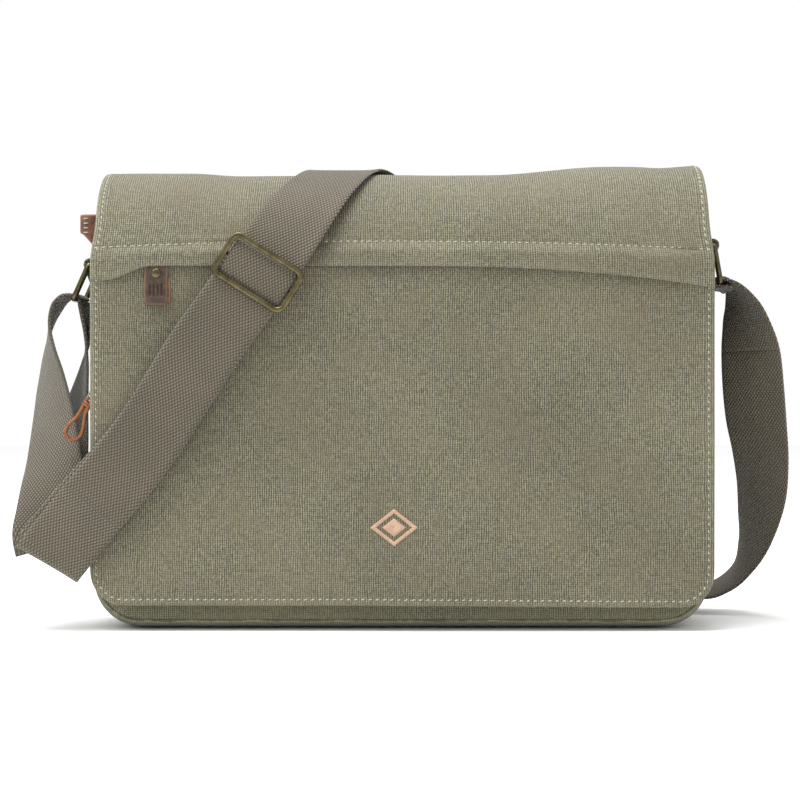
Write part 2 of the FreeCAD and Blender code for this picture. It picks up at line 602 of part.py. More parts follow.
# From the right ring out and down, round behind the bag and up across its back:
RIGHT_NECK = [
    ((225.6, -5.0, 237.7), (0.0, -1.0, 0.0)),
    ((231.5, -5.0, 233.3), (0.10, -1.0, 0.0)),
    ((236.0, -4.6, 224.5), (0.30, -0.95, 0.0)),
    ((239.5, -4.0, 212.0), (0.53, -0.85, 0.0)),
    ((243.5, -2.0, 190.0), (0.76, -0.65, 0.0)),
]
RIGHT_DRAPE = [
    ((246.0, 2.0, 165.0), (0.81, -0.58, 0.0)),
    ((249.0, 8.0, 141.0), (0.79, -0.60, 0.0)),
    ((253.5, 18.0, 116.0), (0.72, -0.67, -0.12)),
    ((256.0, 31.0, 90.0), (0.60, -0.75, -0.25)),
    ((253.6, 45.0, 63.5), (0.37, -0.88, -0.30)),
    ((248.6, 58.0, 42.5), (0.08, -0.95, -0.30)),
    ((240.5, 68.5, 26.5), (-0.10, -0.97, -0.20)),
    ((226.0, 77.0, 16.5), (-0.05, -0.98, -0.10)),
    ((203.0, 82.0, 13.0), (0.0, -1.0, -0.03)),
    ((173.0, 82.5, 20.0), (0.0, -1.0, 0.05)),
    ((142.0, 79.0, 43.0), (0.12, -0.93, 0.22)),
    ((119.0, 71.5, 80.0), (0.50, -0.70, 0.45)),
    ((94.0, 63.5, 124.0), (0.76, -0.30, 0.55)),
    ((66.0, 58.8, 172.0), (0.85, -0.05, 0.50)),
    ((36.0, 57.6, 220.0), (0.87, 0.0, 0.49)),
]
BACK_ACROSS = (0.88, 0.0, 0.46)


def fold_stations(layer, radius, skew, aside=0.0):
    """The strap's turn at the lower left: down the front, round a slightly skewed edge, and up behind."""
    edge = FreeCAD.Rotation(FRONT_OUT, skew).multVec(FRONT_ACROSS)
    if edge.z < FRONT_ACROSS.z:
        edge = FreeCAD.Rotation(FRONT_OUT, -skew).multVec(FRONT_ACROSS)
    start = front_run_point(FOLD_Z) - FRONT_ACROSS * aside - FRONT_OUT * layer
    middle = start - FRONT_OUT * radius
    along_edge = -FRONT_HEADING.dot(edge)
    drift = math.pi * radius * along_edge / math.sqrt(1 - along_edge ** 2)
    for turn in (180, -180):
        turned = turned_about(middle, radius, edge, FRONT_OUT, turn, 8)
        if turned[4][0].z < middle.z:
            return [(centre + edge * (drift * i / 8), side) for i, (centre, side) in enumerate(turned)]


def placed(stations):
    return [(Vector(*centre), Vector(*across)) for centre, across in stations]


FLAP_EDGE_Z = 84.0             # height at which the strap's middle passes the flap's left edge
HINGE_SHARE = 0.93             # over_crown share where the strap lets go of the flap
RUN_HEIGHTS = (192.0, 156.0, 120.0, FLAP_EDGE_Z)
EASE_STEPS = 3


def upper_layer():
    """The whole strap from the right ring, over the bag, to the left ring's inner side, as named lengths."""
    low_x = BACK_X + BACK_RISE_SLOPE * (BACK_RUN_END - 6)
    low = (Vector(low_x, STRAP_BACK_Y, BACK_ARC_Z - BACK_RUN_END), Vector(*BACK_ACROSS))
    drape = eased(placed(RIGHT_NECK + RIGHT_DRAPE) + [low], EASE_STEPS)
    neck_count = EASE_STEPS * (len(RIGHT_NECK) - 1) + 1
    seam = (Vector(BACK_X, STRAP_BACK_Y, BACK_ARC_Z - 6), Vector(*BACK_ACROSS))
    bend = [seam] + strap_over_crown(1.0, HINGE_SHARE, 4)
    crown = strap_over_crown(HINGE_SHARE, 0.0, 20)[1:]
    run = [(front_run_point(z), FRONT_ACROSS) for z in RUN_HEIGHTS]
    fold = fold_stations(0.0, FOLD_R, FOLD_SKEW)
    climb = eased(fold[-1:] + placed(LEFT_INNER), EASE_STEPS)
    loop = fold + climb[1:]
    whole = framed(drape + bend + crown + run + loop)
    lengths, start = {}, 0
    for name, count in (("strap_right_neck", neck_count), ("strap_back_run", len(drape) - neck_count),
                        ("strap_hinge_bend", len(bend)), ("strap_top_run", len(crown)),
                        ("strap_front_run", len(run)), ("strap_left_inner", len(loop))):
        first = max(start - 1, 0)
        start += count
        lengths[name] = whole[first:start]
    return lengths


def lower_layer():
    """The second layer on the front, from below the adjuster, round the fold and up to the left ring."""
    run = [(front_run_point(165.0) - FRONT_OUT * 4.6, FRONT_ACROSS)]
    for z, aside in ((120.0, 0.4), (FLAP_EDGE_Z, 0.7)):
        centre = front_run_point(z) - FRONT_OUT * LAYER_GAP - FRONT_ACROSS * (UNDER_ASIDE * aside)
        run.append((centre, FRONT_ACROSS))
    fold = fold_stations(LAYER_GAP, FOLD_R - LAYER_GAP, UNDER_FOLD_SKEW, UNDER_ASIDE)
    climb = eased(fold[-1:] + placed(LEFT_OUTER), EASE_STEPS)
    whole = framed(run + fold + climb[1:])
    return {"strap_under_run": whole[:len(run)], "strap_left_outer": whole[len(run) - 1:]}


def strap():
    for layer in (upper_layer(), lower_layer()):
        for name, frames in layer.items():
            save(name, ribbon(frames))
    strap_turns()


def strap_turns():
    """The short turns of webbing round the rings' lower bars, which swing with the rings."""
    across = Vector(0, 1, 0)
    bar = lower_bar(LEFT)
    over = turned_about(bar, WEB_BEND_R, across, Vector(-0.45, 0, 0.89), 112, 8)
    start = [(bar + Vector(-6.3, 0, 3.3), across)]
    save("strap_left_turn", ribbon(framed(start + over)))
    # The right end of the strap goes round the bar and is sewn back under itself.
    bar = lower_bar(RIGHT)
    start = [(bar + Vector(dx, 0, dz), across) for dx, dz in ((6.6, 1.6), (3.4, WEB_BEND_R - 0.3))]
    over = turned_about(bar, WEB_BEND_R, across, Vector(0, 0, 1), -180, 10)
    tail = [(bar + Vector(dx, 0, dz), across) for dx, dz in ((3.5, -3.1), (7.0, -3.6), (9.5, -5.2))]
    save("strap_right_turn", ribbon(framed(start + over + tail)))


# ---------------------------------------------------------------- adjuster slider
SLIDER_BAR = 2.6
SLIDER_HALF_LONG = 28.0        # across the strap
SLIDER_HALF_SHORT = 16.5       # along the strap
SLIDER_CLEAR = 1.0             # from the strap's face to the frame
END_LOOP_DROP = 2.6            # from the strap's back to the sewn end loop
SLIDER_SKEW = 4.0              # degrees that it sits askew on the strap


def strap_slider():
    """A brass frame over the strap, its middle bar under the strap, and the sewn strap end."""
    middle = front_run_point(STRAP_SLIDER_Z)
    # Local axes: x across the strap, y up the strap, z away from the flap.
    matrix = FreeCAD.Matrix(
        FRONT_ACROSS.x, FRONT_HEADING.x, FRONT_OUT.x, middle.x,
        FRONT_ACROSS.y, FRONT_HEADING.y, FRONT_OUT.y, middle.y,
        FRONT_ACROSS.z, FRONT_HEADING.z, FRONT_OUT.z, middle.z,
        0, 0, 0, 1)
    to_strap = FreeCAD.Placement(matrix)
    skew = FreeCAD.Placement(Vector(0, 0, 0), FreeCAD.Rotation(Vector(0, 0, 1), SLIDER_SKEW))
    low, high = WEB_THICK / 2 + SLIDER_CLEAR, WEB_THICK / 2 + SLIDER_CLEAR + SLIDER_BAR

    def frame_block(half_x, half_y, corner, z0, z1):
        body = Part.makeBox(2 * half_x, 2 * half_y, z1 - z0, Vector(-half_x, -half_y, z0))
        upright = [e for e in body.Edges if abs(e.tangentAt(e.FirstParameter).z) > 0.99]
        return body.makeFillet(corner, upright)

    frame = frame_block(SLIDER_HALF_LONG, SLIDER_HALF_SHORT, 6.0, low, high)
    window = frame_block(SLIDER_HALF_LONG - 3.2, SLIDER_HALF_SHORT - 3.2, 3.4, low - 1, high + 1)
    frame = frame.cut(window)
    rims = [e for e in frame.Edges if e.Length > 5 and abs(e.CenterOfMass.z - high) < 0.1]
    frame = frame.makeFillet(0.9, rims)
    bar_z = -(WEB_THICK / 2 + END_LOOP_DROP + WEB_THICK + 0.2 + 1.2)
    bar = Part.makeCylinder(1.2, 2 * SLIDER_HALF_LONG - 3.2, Vector(-SLIDER_HALF_LONG + 1.6, 0, bar_z),
                            Vector(1, 0, 0))
    posts = []
    for side in (-1, 1):
        x = side * (SLIDER_HALF_LONG - 1.6)
        posts.append(Part.makeBox(1.6, 3.0, low - bar_z + 0.6, Vector(x - 0.8, -1.5, bar_z - 0.6)))
    frame = frame.fuse([bar] + posts).removeSplitter()
    frame.Placement = to_strap.multiply(skew)
    save("strap_slider", frame)
    radius = 1.2 + 0.25 + WEB_THICK / 2
    centre = Vector(0, 0, bar_z)
    stations = turned_about(centre, radius, Vector(1, 0, 0), Vector(0, 0, 1), 180, 8)
    if stations[4][0].y < 0:
        stations = turned_about(centre, radius, Vector(1, 0, 0), Vector(0, 0, 1), -180, 8)
    first = (Vector(0, -9.0, bar_z + radius - 0.1), Vector(1, 0, 0))
    last = (Vector(0, -16.0, bar_z - radius + 0.4), Vector(1, 0, 0))
    loop = ribbon(framed([first] + stations + [last]), width=WEB_WIDTH - 1)
    loop.Placement = to_strap.multiply(skew)
    save("strap_end_loop", loop)


def main():
    os.makedirs("parts", exist_ok=True)
    bag_body()
    main_zip()
    inside()
    front_pocket()
    back_pocket()
    flap()
    flap_back_hem()
    magnets()
    rings()
    strap()
    strap_slider()


main()
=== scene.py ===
"""A washed canvas messenger bag: the looks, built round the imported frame.

Lengths in the code are millimetres until the last step of each mesh, which turns them into metres.
Each cloth mesh carries a point attribute called "cloth": its first two values are the distances in
millimetres along the cloth's two thread directions, and the third is how worn the cloth is, 0 to 1.
"""

import bpy
import json
import math
from mathutils import Matrix, Vector, noise


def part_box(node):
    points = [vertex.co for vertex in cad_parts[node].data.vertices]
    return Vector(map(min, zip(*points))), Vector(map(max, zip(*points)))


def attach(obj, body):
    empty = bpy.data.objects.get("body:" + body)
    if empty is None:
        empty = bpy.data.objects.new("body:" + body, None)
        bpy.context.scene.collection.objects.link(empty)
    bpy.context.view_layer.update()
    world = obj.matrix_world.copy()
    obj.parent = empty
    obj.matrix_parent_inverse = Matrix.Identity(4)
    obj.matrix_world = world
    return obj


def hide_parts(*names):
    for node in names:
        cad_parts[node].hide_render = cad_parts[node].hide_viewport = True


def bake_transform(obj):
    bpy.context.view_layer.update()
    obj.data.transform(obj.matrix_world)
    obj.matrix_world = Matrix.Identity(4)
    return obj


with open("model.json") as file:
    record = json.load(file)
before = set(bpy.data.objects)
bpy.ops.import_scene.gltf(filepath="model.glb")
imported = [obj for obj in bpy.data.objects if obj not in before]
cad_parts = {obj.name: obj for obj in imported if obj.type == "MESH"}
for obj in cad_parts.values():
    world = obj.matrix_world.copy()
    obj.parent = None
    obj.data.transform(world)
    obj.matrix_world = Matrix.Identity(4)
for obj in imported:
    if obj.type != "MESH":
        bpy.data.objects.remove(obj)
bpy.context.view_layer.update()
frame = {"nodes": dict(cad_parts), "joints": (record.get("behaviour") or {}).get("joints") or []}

# ---------------------------------------------------------------- driving dimensions, millimetres
APEX_Y = 8.0                    # crown of the top lies a little behind the middle
FRONT_Y, BACK_Y = -50.0, 50.0
BODY_TOP = 302.0
FRONT_DOME_R, BACK_DOME_R = 58.0, 42.0
BODY_HALF = 207.0               # to the side seams
SEAM_Z = 5.2                    # height of the bottom seam
CORNER_R = 30.0
MOUTH_HALF_LENGTH, MOUTH_HALF_GAPE, TAPE_WIDTH = 172.0, 20.0, 9.0

FLAP_HALF = 209.0
FLAP_FRONT_R, FLAP_BACK_R, FLAP_TOP = 68.0, 43.5, 312.0
FLAP_BOTTOM = 17.4
FLAP_CORNER_R = 23.0
FLAP_THICK = 4.0
FLAP_FRONT_Z = FLAP_TOP - FLAP_FRONT_R
FLAP_BACK_Z = FLAP_TOP - FLAP_BACK_R
FLAP_OUT_Y = APEX_Y - FLAP_FRONT_R - FLAP_THICK
HINGE = Vector(next(j for j in frame["joints"] if j["name"] == "flap_hinge")["pos_m"]) * 1000

CROWN_END_Z = 266.0             # the crown's rows end here, and the rows above the lip start
LIP_Z, LIP_PROUD = 244.8, 0.35
LOWER_CANVAS_TOP, LINING_ARC_Z = 248.0, 250.0
HEM_TUCK = 3.0                  # the cloths start this far below the hinge's seam
WEAR_REACH, EDGE_ROUNDING = 6.0, 3.0

WEB_WIDTH, WEB_THICK = 47.6, 1.9
WEB_BEND_R, RING_ROD_R = 3.3, 2.0
STITCH_PITCH, STITCH_INSET = 4.8, 4.2


# ---------------------------------------------------------------- small helpers
def smooth(t):
    t = min(max(t, 0.0), 1.0)
    return t * t * (3 - 2 * t)


def wobble(x, y, z, size, seed=0.0):
    """Smooth noise from -1 to 1 with features of about the given size in millimetres."""
    return noise.noise(Vector((x / size + seed, y / size - seed, z / size + seed * 0.5)))


def spread(low, high, count):
    return [low + (high - low) * i / (count - 1) for i in range(count)]


def unit(v):
    return Vector(v).normalized()


def rounded_half(half, corner, rise):
    """Half of a panel's width at a height above its lower edge, with its rounded corners."""
    if rise >= corner:
        return half
    return half - corner + math.sqrt(max(0.0, corner ** 2 - (corner - rise) ** 2))


def edge_distance(x, z, half, bottom, corner):
    """Distance from a point on a panel to its side or lower edge, or to its rounded corner."""
    corner_x, corner_z = half - corner, bottom + corner
    if abs(x) > corner_x and z < corner_z:
        return corner - math.hypot(abs(x) - corner_x, z - corner_z)
    return min(half - abs(x), z - bottom)


def arc(middle_a, middle_b, radius, start, stop, count):
    """Points (a, b) on an arc between two angles in degrees."""
    turns = [math.radians(angle) for angle in spread(start, stop, count)]
    return [(middle_a + radius * math.cos(turn), middle_b + radius * math.sin(turn)) for turn in turns]


def path_steps(line):
    """The distance along a list of points to each of them."""
    steps = [0.0]
    for a, b in zip(line, line[1:]):
        steps.append(steps[-1] + (b - a).length)
    return steps


def at_distances(line, targets):
    """For each rising distance along a list of points: the place, the direction ahead and the point before."""
    steps = path_steps(line)
    index = 0
    for target in targets:
        while index < len(line) - 2 and steps[index + 1] < target:
            index += 1
        share = (target - steps[index]) / max(steps[index + 1] - steps[index], 1e-6)
        yield line[index].lerp(line[index + 1], share), unit(line[index + 1] - line[index]), index


# ---------------------------------------------------------------- mesh makers
def mesh_object(name, points, faces, cloth=None):
    mesh = bpy.data.meshes.new(name)
    mesh.from_pydata([Vector(p) * 0.001 for p in points], [], faces)
    mesh.validate()
    if cloth is not None:
        attribute = mesh.attributes.new("cloth", "FLOAT_VECTOR", "POINT")
        flat = [value for c in cloth for value in c]
        attribute.data.foreach_set("vector", flat)
    for polygon in mesh.polygons:
        polygon.use_smooth = True
    mesh.update()
    made = bpy.data.objects.new(name, mesh)
    bpy.context.scene.collection.objects.link(made)
    return made


def subdivide(obj, levels=1):
    modifier = obj.modifiers.new("Smooth", "SUBSURF")
    modifier.levels = levels
    modifier.render_levels = levels
    return obj


def finish_piece(obj, body, material, replaced=()):
    """Gives a piece its body and finish, and hides the CAD nodes that it stands for."""
    obj.data.materials.clear()
    obj.data.materials.append(material)
    if replaced:
        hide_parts(*replaced)
    if body:
        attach(obj, body)
    return obj


def grid_faces(rows, columns, start=0, flipped=False):
    faces = []
    for i in range(rows - 1):
        for j in range(columns - 1):
            a = start + i * columns + j
            quad = (a, a + 1, a + columns + 1, a + columns)
            faces.append(quad[::-1] if flipped else quad)
    return faces


def tube_faces(rings, count, start=0, caps=True):
    """Faces round a stack of rings of points, closed at both ends where caps is set."""
    faces = []
    for i in range(rings - 1):
        for k in range(count):
            a, b = start + i * count + k, start + i * count + (k + 1) % count
            faces.append((a, b, b + count, a + count))
    if caps:
        faces.append(tuple(start + k for k in range(count))[::-1])
        faces.append(tuple(start + (rings - 1) * count + k for k in range(count)))
    return faces


class Sheet:
    """Rows of points on both faces of a cloth, with their cloth values, gathered for slab()."""

    def __init__(self):
        self.outer, self.inner, self.cloth = [], [], []

    def new_row(self):
        """Starts a row and gives its three lists: outer points, inner points and cloth values."""
        rows = ([], [], [])
        for gathered, row in zip((self.outer, self.inner, self.cloth), rows):
            gathered.append(row)
        return rows

    def add(self, outer, inner, cloth):
        self.outer[-1].append(outer)
        self.inner[-1].append(inner)
        self.cloth[-1].append(cloth)


def slab(name, sheet, levels=1):
    """A closed mesh from a sheet's outer and inner faces, joined round the rim."""
    outer, inner = sheet.outer, sheet.inner
    rows, columns = len(outer), len(outer[0])
    count = rows * columns
    points = [p for row in outer for p in row] + [p for row in inner for p in row]
    coords = [c for row in sheet.cloth for c in row] * 2
    faces = grid_faces(rows, columns) + grid_faces(rows, columns, count, True)
    rim = list(range(columns))
    rim += [i * columns + columns - 1 for i in range(1, rows)]
    rim += [(rows - 1) * columns + j for j in range(columns - 2, -1, -1)]
    rim += [i * columns for i in range(rows - 2, 0, -1)]
    for a, b in zip(rim, rim[1:] + rim[:1]):
        faces.append((b, a, a + count, b + count))
    made = mesh_object(name, points, faces, coords)
    outwards = Vector(outer[rows // 2][columns // 2]) - Vector(inner[rows // 2][columns // 2])
    facing = made.data.polygons[(rows // 2) * (columns - 1) + columns // 2 - 1].normal
    if facing.dot(outwards) < 0:
        made.data.flip_normals()
    return subdivide(made, levels) if levels else made


def rounded_loop(corners, radius, steps):
    """A flat closed outline through (a, b) corners, each of them rounded in a number of steps."""
    path = []
    for i, corner in enumerate(corners):
        here = Vector(corner + (0,))
        before = Vector(corners[i - 1] + (0,))
        after = Vector(corners[(i + 1) % len(corners)] + (0,))
        p, q = here + unit(before - here) * radius, here + unit(after - here) * radius
        centre = p + q - here
        for k in range(steps + 1):
            turn = k / steps * math.pi / 2
            path.append(centre + (p - centre) * math.cos(turn) + (q - centre) * math.sin(turn))
    return path


def loop_frames(points, normal):
    """Framed stations of (centre, side, up) round a flat closed loop."""
    frames = []
    for i, point in enumerate(points):
        ahead = unit(points[(i + 1) % len(points)] - points[i - 1])
        frames.append((point, unit(ahead.cross(normal)), normal))
    return frames


def swept(name, path, profile, loop=False):
    """A closed profile of (a, b) points carried along framed stations of (centre, side, up).
    loop joins the last station to the first; otherwise both ends are closed."""
    points, coords = [], []
    along = 0.0
    count = len(profile)
    girth = [0.0]
    for (a0, b0), (a1, b1) in zip(profile, profile[1:]):
        girth.append(girth[-1] + math.hypot(a1 - a0, b1 - b0))
    for i, (centre, side, up) in enumerate(path):
        if i:
            along += (centre - path[i - 1][0]).length
        for k, (a, b) in enumerate(profile):
            points.append(centre + side * a + up * b)
            coords.append((girth[k], along, 0.0))
    faces = tube_faces(len(path), count, caps=not loop)
    if loop:
        last = (len(path) - 1) * count
        for k in range(count):
            faces.append((last + k, last + (k + 1) % count, (k + 1) % count, k))
    return mesh_object(name, points, faces, coords)


def round_profile(radius, count=12):
    return [(radius * math.cos(2 * math.pi * k / count), radius * math.sin(2 * math.pi * k / count))
            for k in range(count)]


def framed(stations):
    """Each station as (centre, side, up), square to the path."""
    found = []
    last = len(stations) - 1
    for i, (centre, across) in enumerate(stations):
        ahead = unit(stations[min(i + 1, last)][0] - stations[max(i - 1, 0)][0])
        side = unit(across - ahead * across.dot(ahead))
        found.append((centre, side, ahead.cross(side)))
    return found


def stitches(name, line, body, out, pitch=STITCH_PITCH, length=3.0, slant=18.0):
    """A row of thread stitches along a list of points. out, a vector or a function of the place,
    gives the side that they lie on."""
    radius, sink = 0.36, 0.12
    rings, sides = 5, 6
    total = path_steps(line)[-1]
    count = int(total / pitch)
    points, faces = [], []
    targets = [(n + 0.5) * total / count for n in range(count)]
    for n, (centre, ahead, _) in enumerate(at_distances(line, targets)):
        face_out = out(centre) if callable(out) else Vector(out)
        face_out = unit(face_out - ahead * ahead.dot(face_out))
        across = ahead.cross(face_out)
        turn = Matrix.Rotation(math.radians(slant + 5 * wobble(n * 3.1, 0, 0, 2.0)), 3, face_out)
        ahead, across = turn @ ahead, turn @ across
        start = len(points)
        for r in range(rings):
            t = r / (rings - 1) * 2 - 1
            lift = radius * (1.15 - 1.6 * t * t) - sink
            thick = radius * (1 - 0.45 * t ** 4)
            for k in range(sides):
                angle = 2 * math.pi * k / sides
                offset = across * (thick * 1.15 * math.cos(angle)) + face_out * (thick * math.sin(angle) + lift)
                points.append(centre + ahead * (t * length / 2) + offset)
        faces += tube_faces(rings, sides, start)
    made = mesh_object(name, points, faces)
    return finish_piece(made, body, MATERIAL["thread"])


# ---------------------------------------------------------------- materials
class Nodes:
    """A few short ways to wire shader nodes together."""

    def __init__(self, name):
        self.material = bpy.data.materials.new(name)
        self.material.use_nodes = True
        self.tree = self.material.node_tree
        self.tree.nodes.clear()
        self.shader = self.tree.nodes.new("ShaderNodeBsdfPrincipled")
        output = self.tree.nodes.new("ShaderNodeOutputMaterial")
        self.tree.links.new(self.shader.outputs[0], output.inputs[0])

    def set(self, **values):
        for key, value in values.items():
            self.shader.inputs[key.replace("_", " ")].default_value = value

    def link(self, source, target):
        """Joins a socket to an input, or gives the input a number or a colour."""
        if isinstance(source, (int, float, tuple)):
            target.default_value = source
        else:
            self.tree.links.new(source, target)

    def math(self, kind, a, b=0.0, c=None, clamp=False):
        node = self.tree.nodes.new("ShaderNodeMath")
        node.operation = kind
        node.use_clamp = clamp
        self.link(a, node.inputs[0])
        self.link(b, node.inputs[1])
        if c is not None:
            self.link(c, node.inputs[2])
        return node.outputs[0]

    def mix(self, share, a, b, blend="MIX"):
        node = self.tree.nodes.new("ShaderNodeMix")
        node.data_type = "RGBA"
        node.blend_type = blend
        self.link(share, node.inputs[0])
        self.link(a, node.inputs[6])
        self.link(b, node.inputs[7])
        return node.outputs[2]

    def grey(self, value):
        """A colour with the same value in red, green and blue."""
        join = self.tree.nodes.new("ShaderNodeCombineColor")
        for socket in join.inputs[:3]:
            self.link(value, socket)
        return join.outputs[0]

    def noise(self, vector, scale, detail=2.0, rough=0.5, distortion=0.0):
        node = self.tree.nodes.new("ShaderNodeTexNoise")
        self.link(vector, node.inputs["Vector"])
        node.inputs["Scale"].default_value = scale
        node.inputs["Detail"].default_value = detail
        node.inputs["Roughness"].default_value = rough
        node.inputs["Distortion"].default_value = distortion
        return node.outputs["Fac"]

    def ramp(self, value, low, high):
        """Turns values between the low pair into values between the high pair, and no further."""
        node = self.tree.nodes.new("ShaderNodeMapRange")
        node.clamp = True
        self.link(value, node.inputs[0])
        node.inputs[1].default_value, node.inputs[2].default_value = low
        node.inputs[3].default_value, node.inputs[4].default_value = high
        return node.outputs[0]

    def coords(self, source):
        """Coordinates in millimetres as (vector, u, v, third): the mesh's cloth values, or x, z and y."""
        if source == "cloth":
            attribute = self.tree.nodes.new("ShaderNodeAttribute")
            attribute.attribute_name = "cloth"
            vector = attribute.outputs["Vector"]
        else:
            found = self.tree.nodes.new("ShaderNodeTexCoord")
            scale = self.tree.nodes.new("ShaderNodeVectorMath")
            scale.operation = "SCALE"
            self.link(found.outputs["Object"], scale.inputs[0])
            scale.inputs[3].default_value = 1000.0
            vector = scale.outputs[0]
        split = self.tree.nodes.new("ShaderNodeSeparateXYZ")
        self.link(vector, split.inputs[0])
        if source == "cloth":
            return vector, split.outputs[0], split.outputs[1], split.outputs[2]
        return vector, split.outputs[0], split.outputs[2], split.outputs[1]

    def stretched(self, u, v, scale_u, scale_v):
        join = self.tree.nodes.new("ShaderNodeCombineXYZ")
        self.link(self.math("MULTIPLY", u, scale_u), join.inputs[0])
        self.link(self.math("MULTIPLY", v, scale_v), join.inputs[1])
        return join.outputs[0]

    def bump(self, height, strength, distance):
        node = self.tree.nodes.new("ShaderNodeBump")
        node.inputs["Strength"].default_value = strength
        node.inputs["Distance"].default_value = distance
        self.link(height, node.inputs["Height"])
        self.link(node.outputs[0], self.shader.inputs["Normal"])


def wave(n, value, period, shift=0.0):
    """A cosine of a coordinate in millimetres, from -1 to 1."""
    return n.math("COSINE", n.math("MULTIPLY_ADD", value, 2 * math.pi / period, shift))


def canvas(name, mid, dark, pale, blotch, source="cloth", pitch=1.5, strength=0.6, wear=0.14):
    """Washed plain-weave canvas: upright ribs, slubby threads, warm blotches and paler worn edges; the weave's
    hollows are painted darker, as painted shade.
    """
    n = Nodes(name)
    vector, u, v, worn = n.coords(source)
    warp = n.math("MULTIPLY", n.noise(n.stretched(u, v, 0.12, 0.05), 1.0, 2.0), 2.2)
    across, along = n.math("ADD", u, warp), n.math("ADD", v, warp)
    ribs = wave(n, across, pitch)
    dots = n.math("MULTIPLY", wave(n, across, pitch * 2), wave(n, along, pitch * 2))
    dots = n.math("ABSOLUTE", dots)
    clump = n.ramp(n.noise(vector, 0.16, 2.0), (0.38, 0.62), (0.5, 0.85))
    weave = n.math("MULTIPLY_ADD", ribs, 0.30, n.math("MULTIPLY", dots, clump))
    slub = n.noise(n.stretched(u, v, 0.75, 0.2), 1.0, 3.0, 0.6)
    grain = n.noise(n.stretched(u, v, 0.62, 0.5), 1.0, 2.0, 0.75)
    height = n.math("ADD", weave, n.math("MULTIPLY", grain, 1.2))
    # Painted shade: the tone follows the weave's ribs and dots, so the hollows between threads come out darker.
    # The slubs and grain add the threads' own random tone.
    tone_and_weave_shade = n.math("MULTIPLY_ADD", weave, 0.5, n.math("MULTIPLY", slub, 0.4))
    tone_and_weave_shade = n.math("MULTIPLY_ADD", grain, 1.0, tone_and_weave_shade)
    colour = n.mix(n.ramp(tone_and_weave_shade, (0.62, 1.22), (0.0, 1.0)), dark, pale)
    colour = n.mix(0.2, colour, mid)
    patches = n.ramp(n.noise(vector, 0.022, 3.0, 0.6, 0.4), (0.42, 0.68), (0.0, 0.4))
    colour = n.mix(patches, colour, blotch)
    clouds = n.ramp(n.noise(vector, 0.011, 2.0), (0.3, 0.7), (0.86, 1.1))
    colour = n.mix(1.0, colour, n.grey(clouds), "MULTIPLY")
    if source == "cloth":
        scuff = n.math("MULTIPLY", worn, n.ramp(n.noise(vector, 0.35, 3.0), (0.3, 0.65), (0.35, 1.0)))
        faded = tuple(min(c * 1.35, 1) for c in pale[:3]) + (1,)
        colour = n.mix(n.math("MULTIPLY", scuff, wear), colour, faded)
    n.link(colour, n.shader.inputs["Base Color"])
    n.link(n.ramp(grain, (0.3, 0.7), (0.86, 0.98)), n.shader.inputs["Roughness"])
    n.set(Sheen_Weight=0.18, Sheen_Roughness=0.5, Specular_IOR_Level=0.18)
    n.bump(height, strength, 0.0004)
    return n.material



def webbing_material(name, light, dark, strength=0.9):
    """Ribbed cotton webbing: raised pips in staggered rows, with plain woven selvedges; the colour follows the
    height, so the pips are painted paler and the hollows darker, as painted shade, with random fibre tone.
    """
    n = Nodes(name)
    vector, u, v, _ = n.coords("cloth")
    drift = n.math("MULTIPLY", n.noise(n.stretched(u, v, 0.05, 0.02), 1.0, 1.0), 0.8)
    across, along = n.math("ADD", u, drift), n.math("ADD", v, drift)
    pips = n.math("MULTIPLY", wave(n, across, 2.4), wave(n, along, 3.4))
    rows = wave(n, along, 1.7)
    fluff = n.noise(vector, 1.1, 3.0, 0.7)
    height = n.math("MULTIPLY_ADD", rows, 0.2, pips)
    height = n.math("MULTIPLY_ADD", fluff, 0.8, height)
    # Painted shade: the hollows between the pips take the dark colour and the pips' tops the light one, with
    # the fluff's random tone.
    tone_and_weave_shade = n.ramp(height, (-0.55, 1.35), (0.0, 1.0))
    colour = n.mix(tone_and_weave_shade, dark, light)
    cloud = n.ramp(n.noise(vector, 0.02, 2.0), (0.3, 0.7), (0.88, 1.08))
    colour = n.mix(1.0, colour, n.grey(cloud), "MULTIPLY")
    n.link(colour, n.shader.inputs["Base Color"])
    n.set(Roughness=0.88, Sheen_Weight=0.2, Sheen_Roughness=0.5, Specular_IOR_Level=0.2)
    n.bump(height, strength, 0.0005)
    return n.material


def leather_material(name, deep, mid, worn_colour):
    """Waxed leather: fine pores and creases, rubbed paler at the edges."""
    n = Nodes(name)
    vector, _, _, worn = n.coords("cloth")
    pores = n.tree.nodes.new("ShaderNodeTexVoronoi")
    n.link(vector, pores.inputs["Vector"])
    pores.inputs["Scale"].default_value = 1.6
    grain = n.noise(vector, 1.2, 4.0, 0.6)
    cloud = n.noise(vector, 0.18, 3.0, 0.6)
    colour = n.mix(n.ramp(cloud, (0.35, 0.68), (0.0, 1.0)), deep, mid)
    edge = n.math("MULTIPLY", worn, n.ramp(grain, (0.3, 0.6), (0.55, 1.0)), clamp=True)
    colour = n.mix(edge, colour, worn_colour)
    n.link(colour, n.shader.inputs["Base Color"])
    n.link(n.ramp(grain, (0.3, 0.7), (0.42, 0.62)), n.shader.inputs["Roughness"])
    height = n.math("MULTIPLY_ADD", pores.outputs["Distance"], 0.6, grain)
    n.set(Specular_IOR_Level=0.4)
    n.bump(height, 0.5, 0.0003)
    return n.material


def metal_material(name, bright, dark, rough, tarnish):
    """Cast or plated metal with brushed streaks and darker tarnish in patches."""
    n = Nodes(name)
    vector, u, v, _ = n.coords("object")
    patch = n.ramp(n.noise(vector, 0.12, 3.0, 0.6), (0.40, 0.64), (0.0, tarnish))
    streak = n.noise(n.stretched(u, v, 0.5, 6.0), 1.0, 3.0)
    n.link(n.mix(patch, bright, dark), n.shader.inputs["Base Color"])
    n.link(n.ramp(streak, (0.3, 0.7), (rough * 0.8, rough * 1.35)), n.shader.inputs["Roughness"])
    n.set(Metallic=1.0)
    n.bump(n.noise(vector, 0.8, 2.0), 0.10, 0.0001)
    return n.material


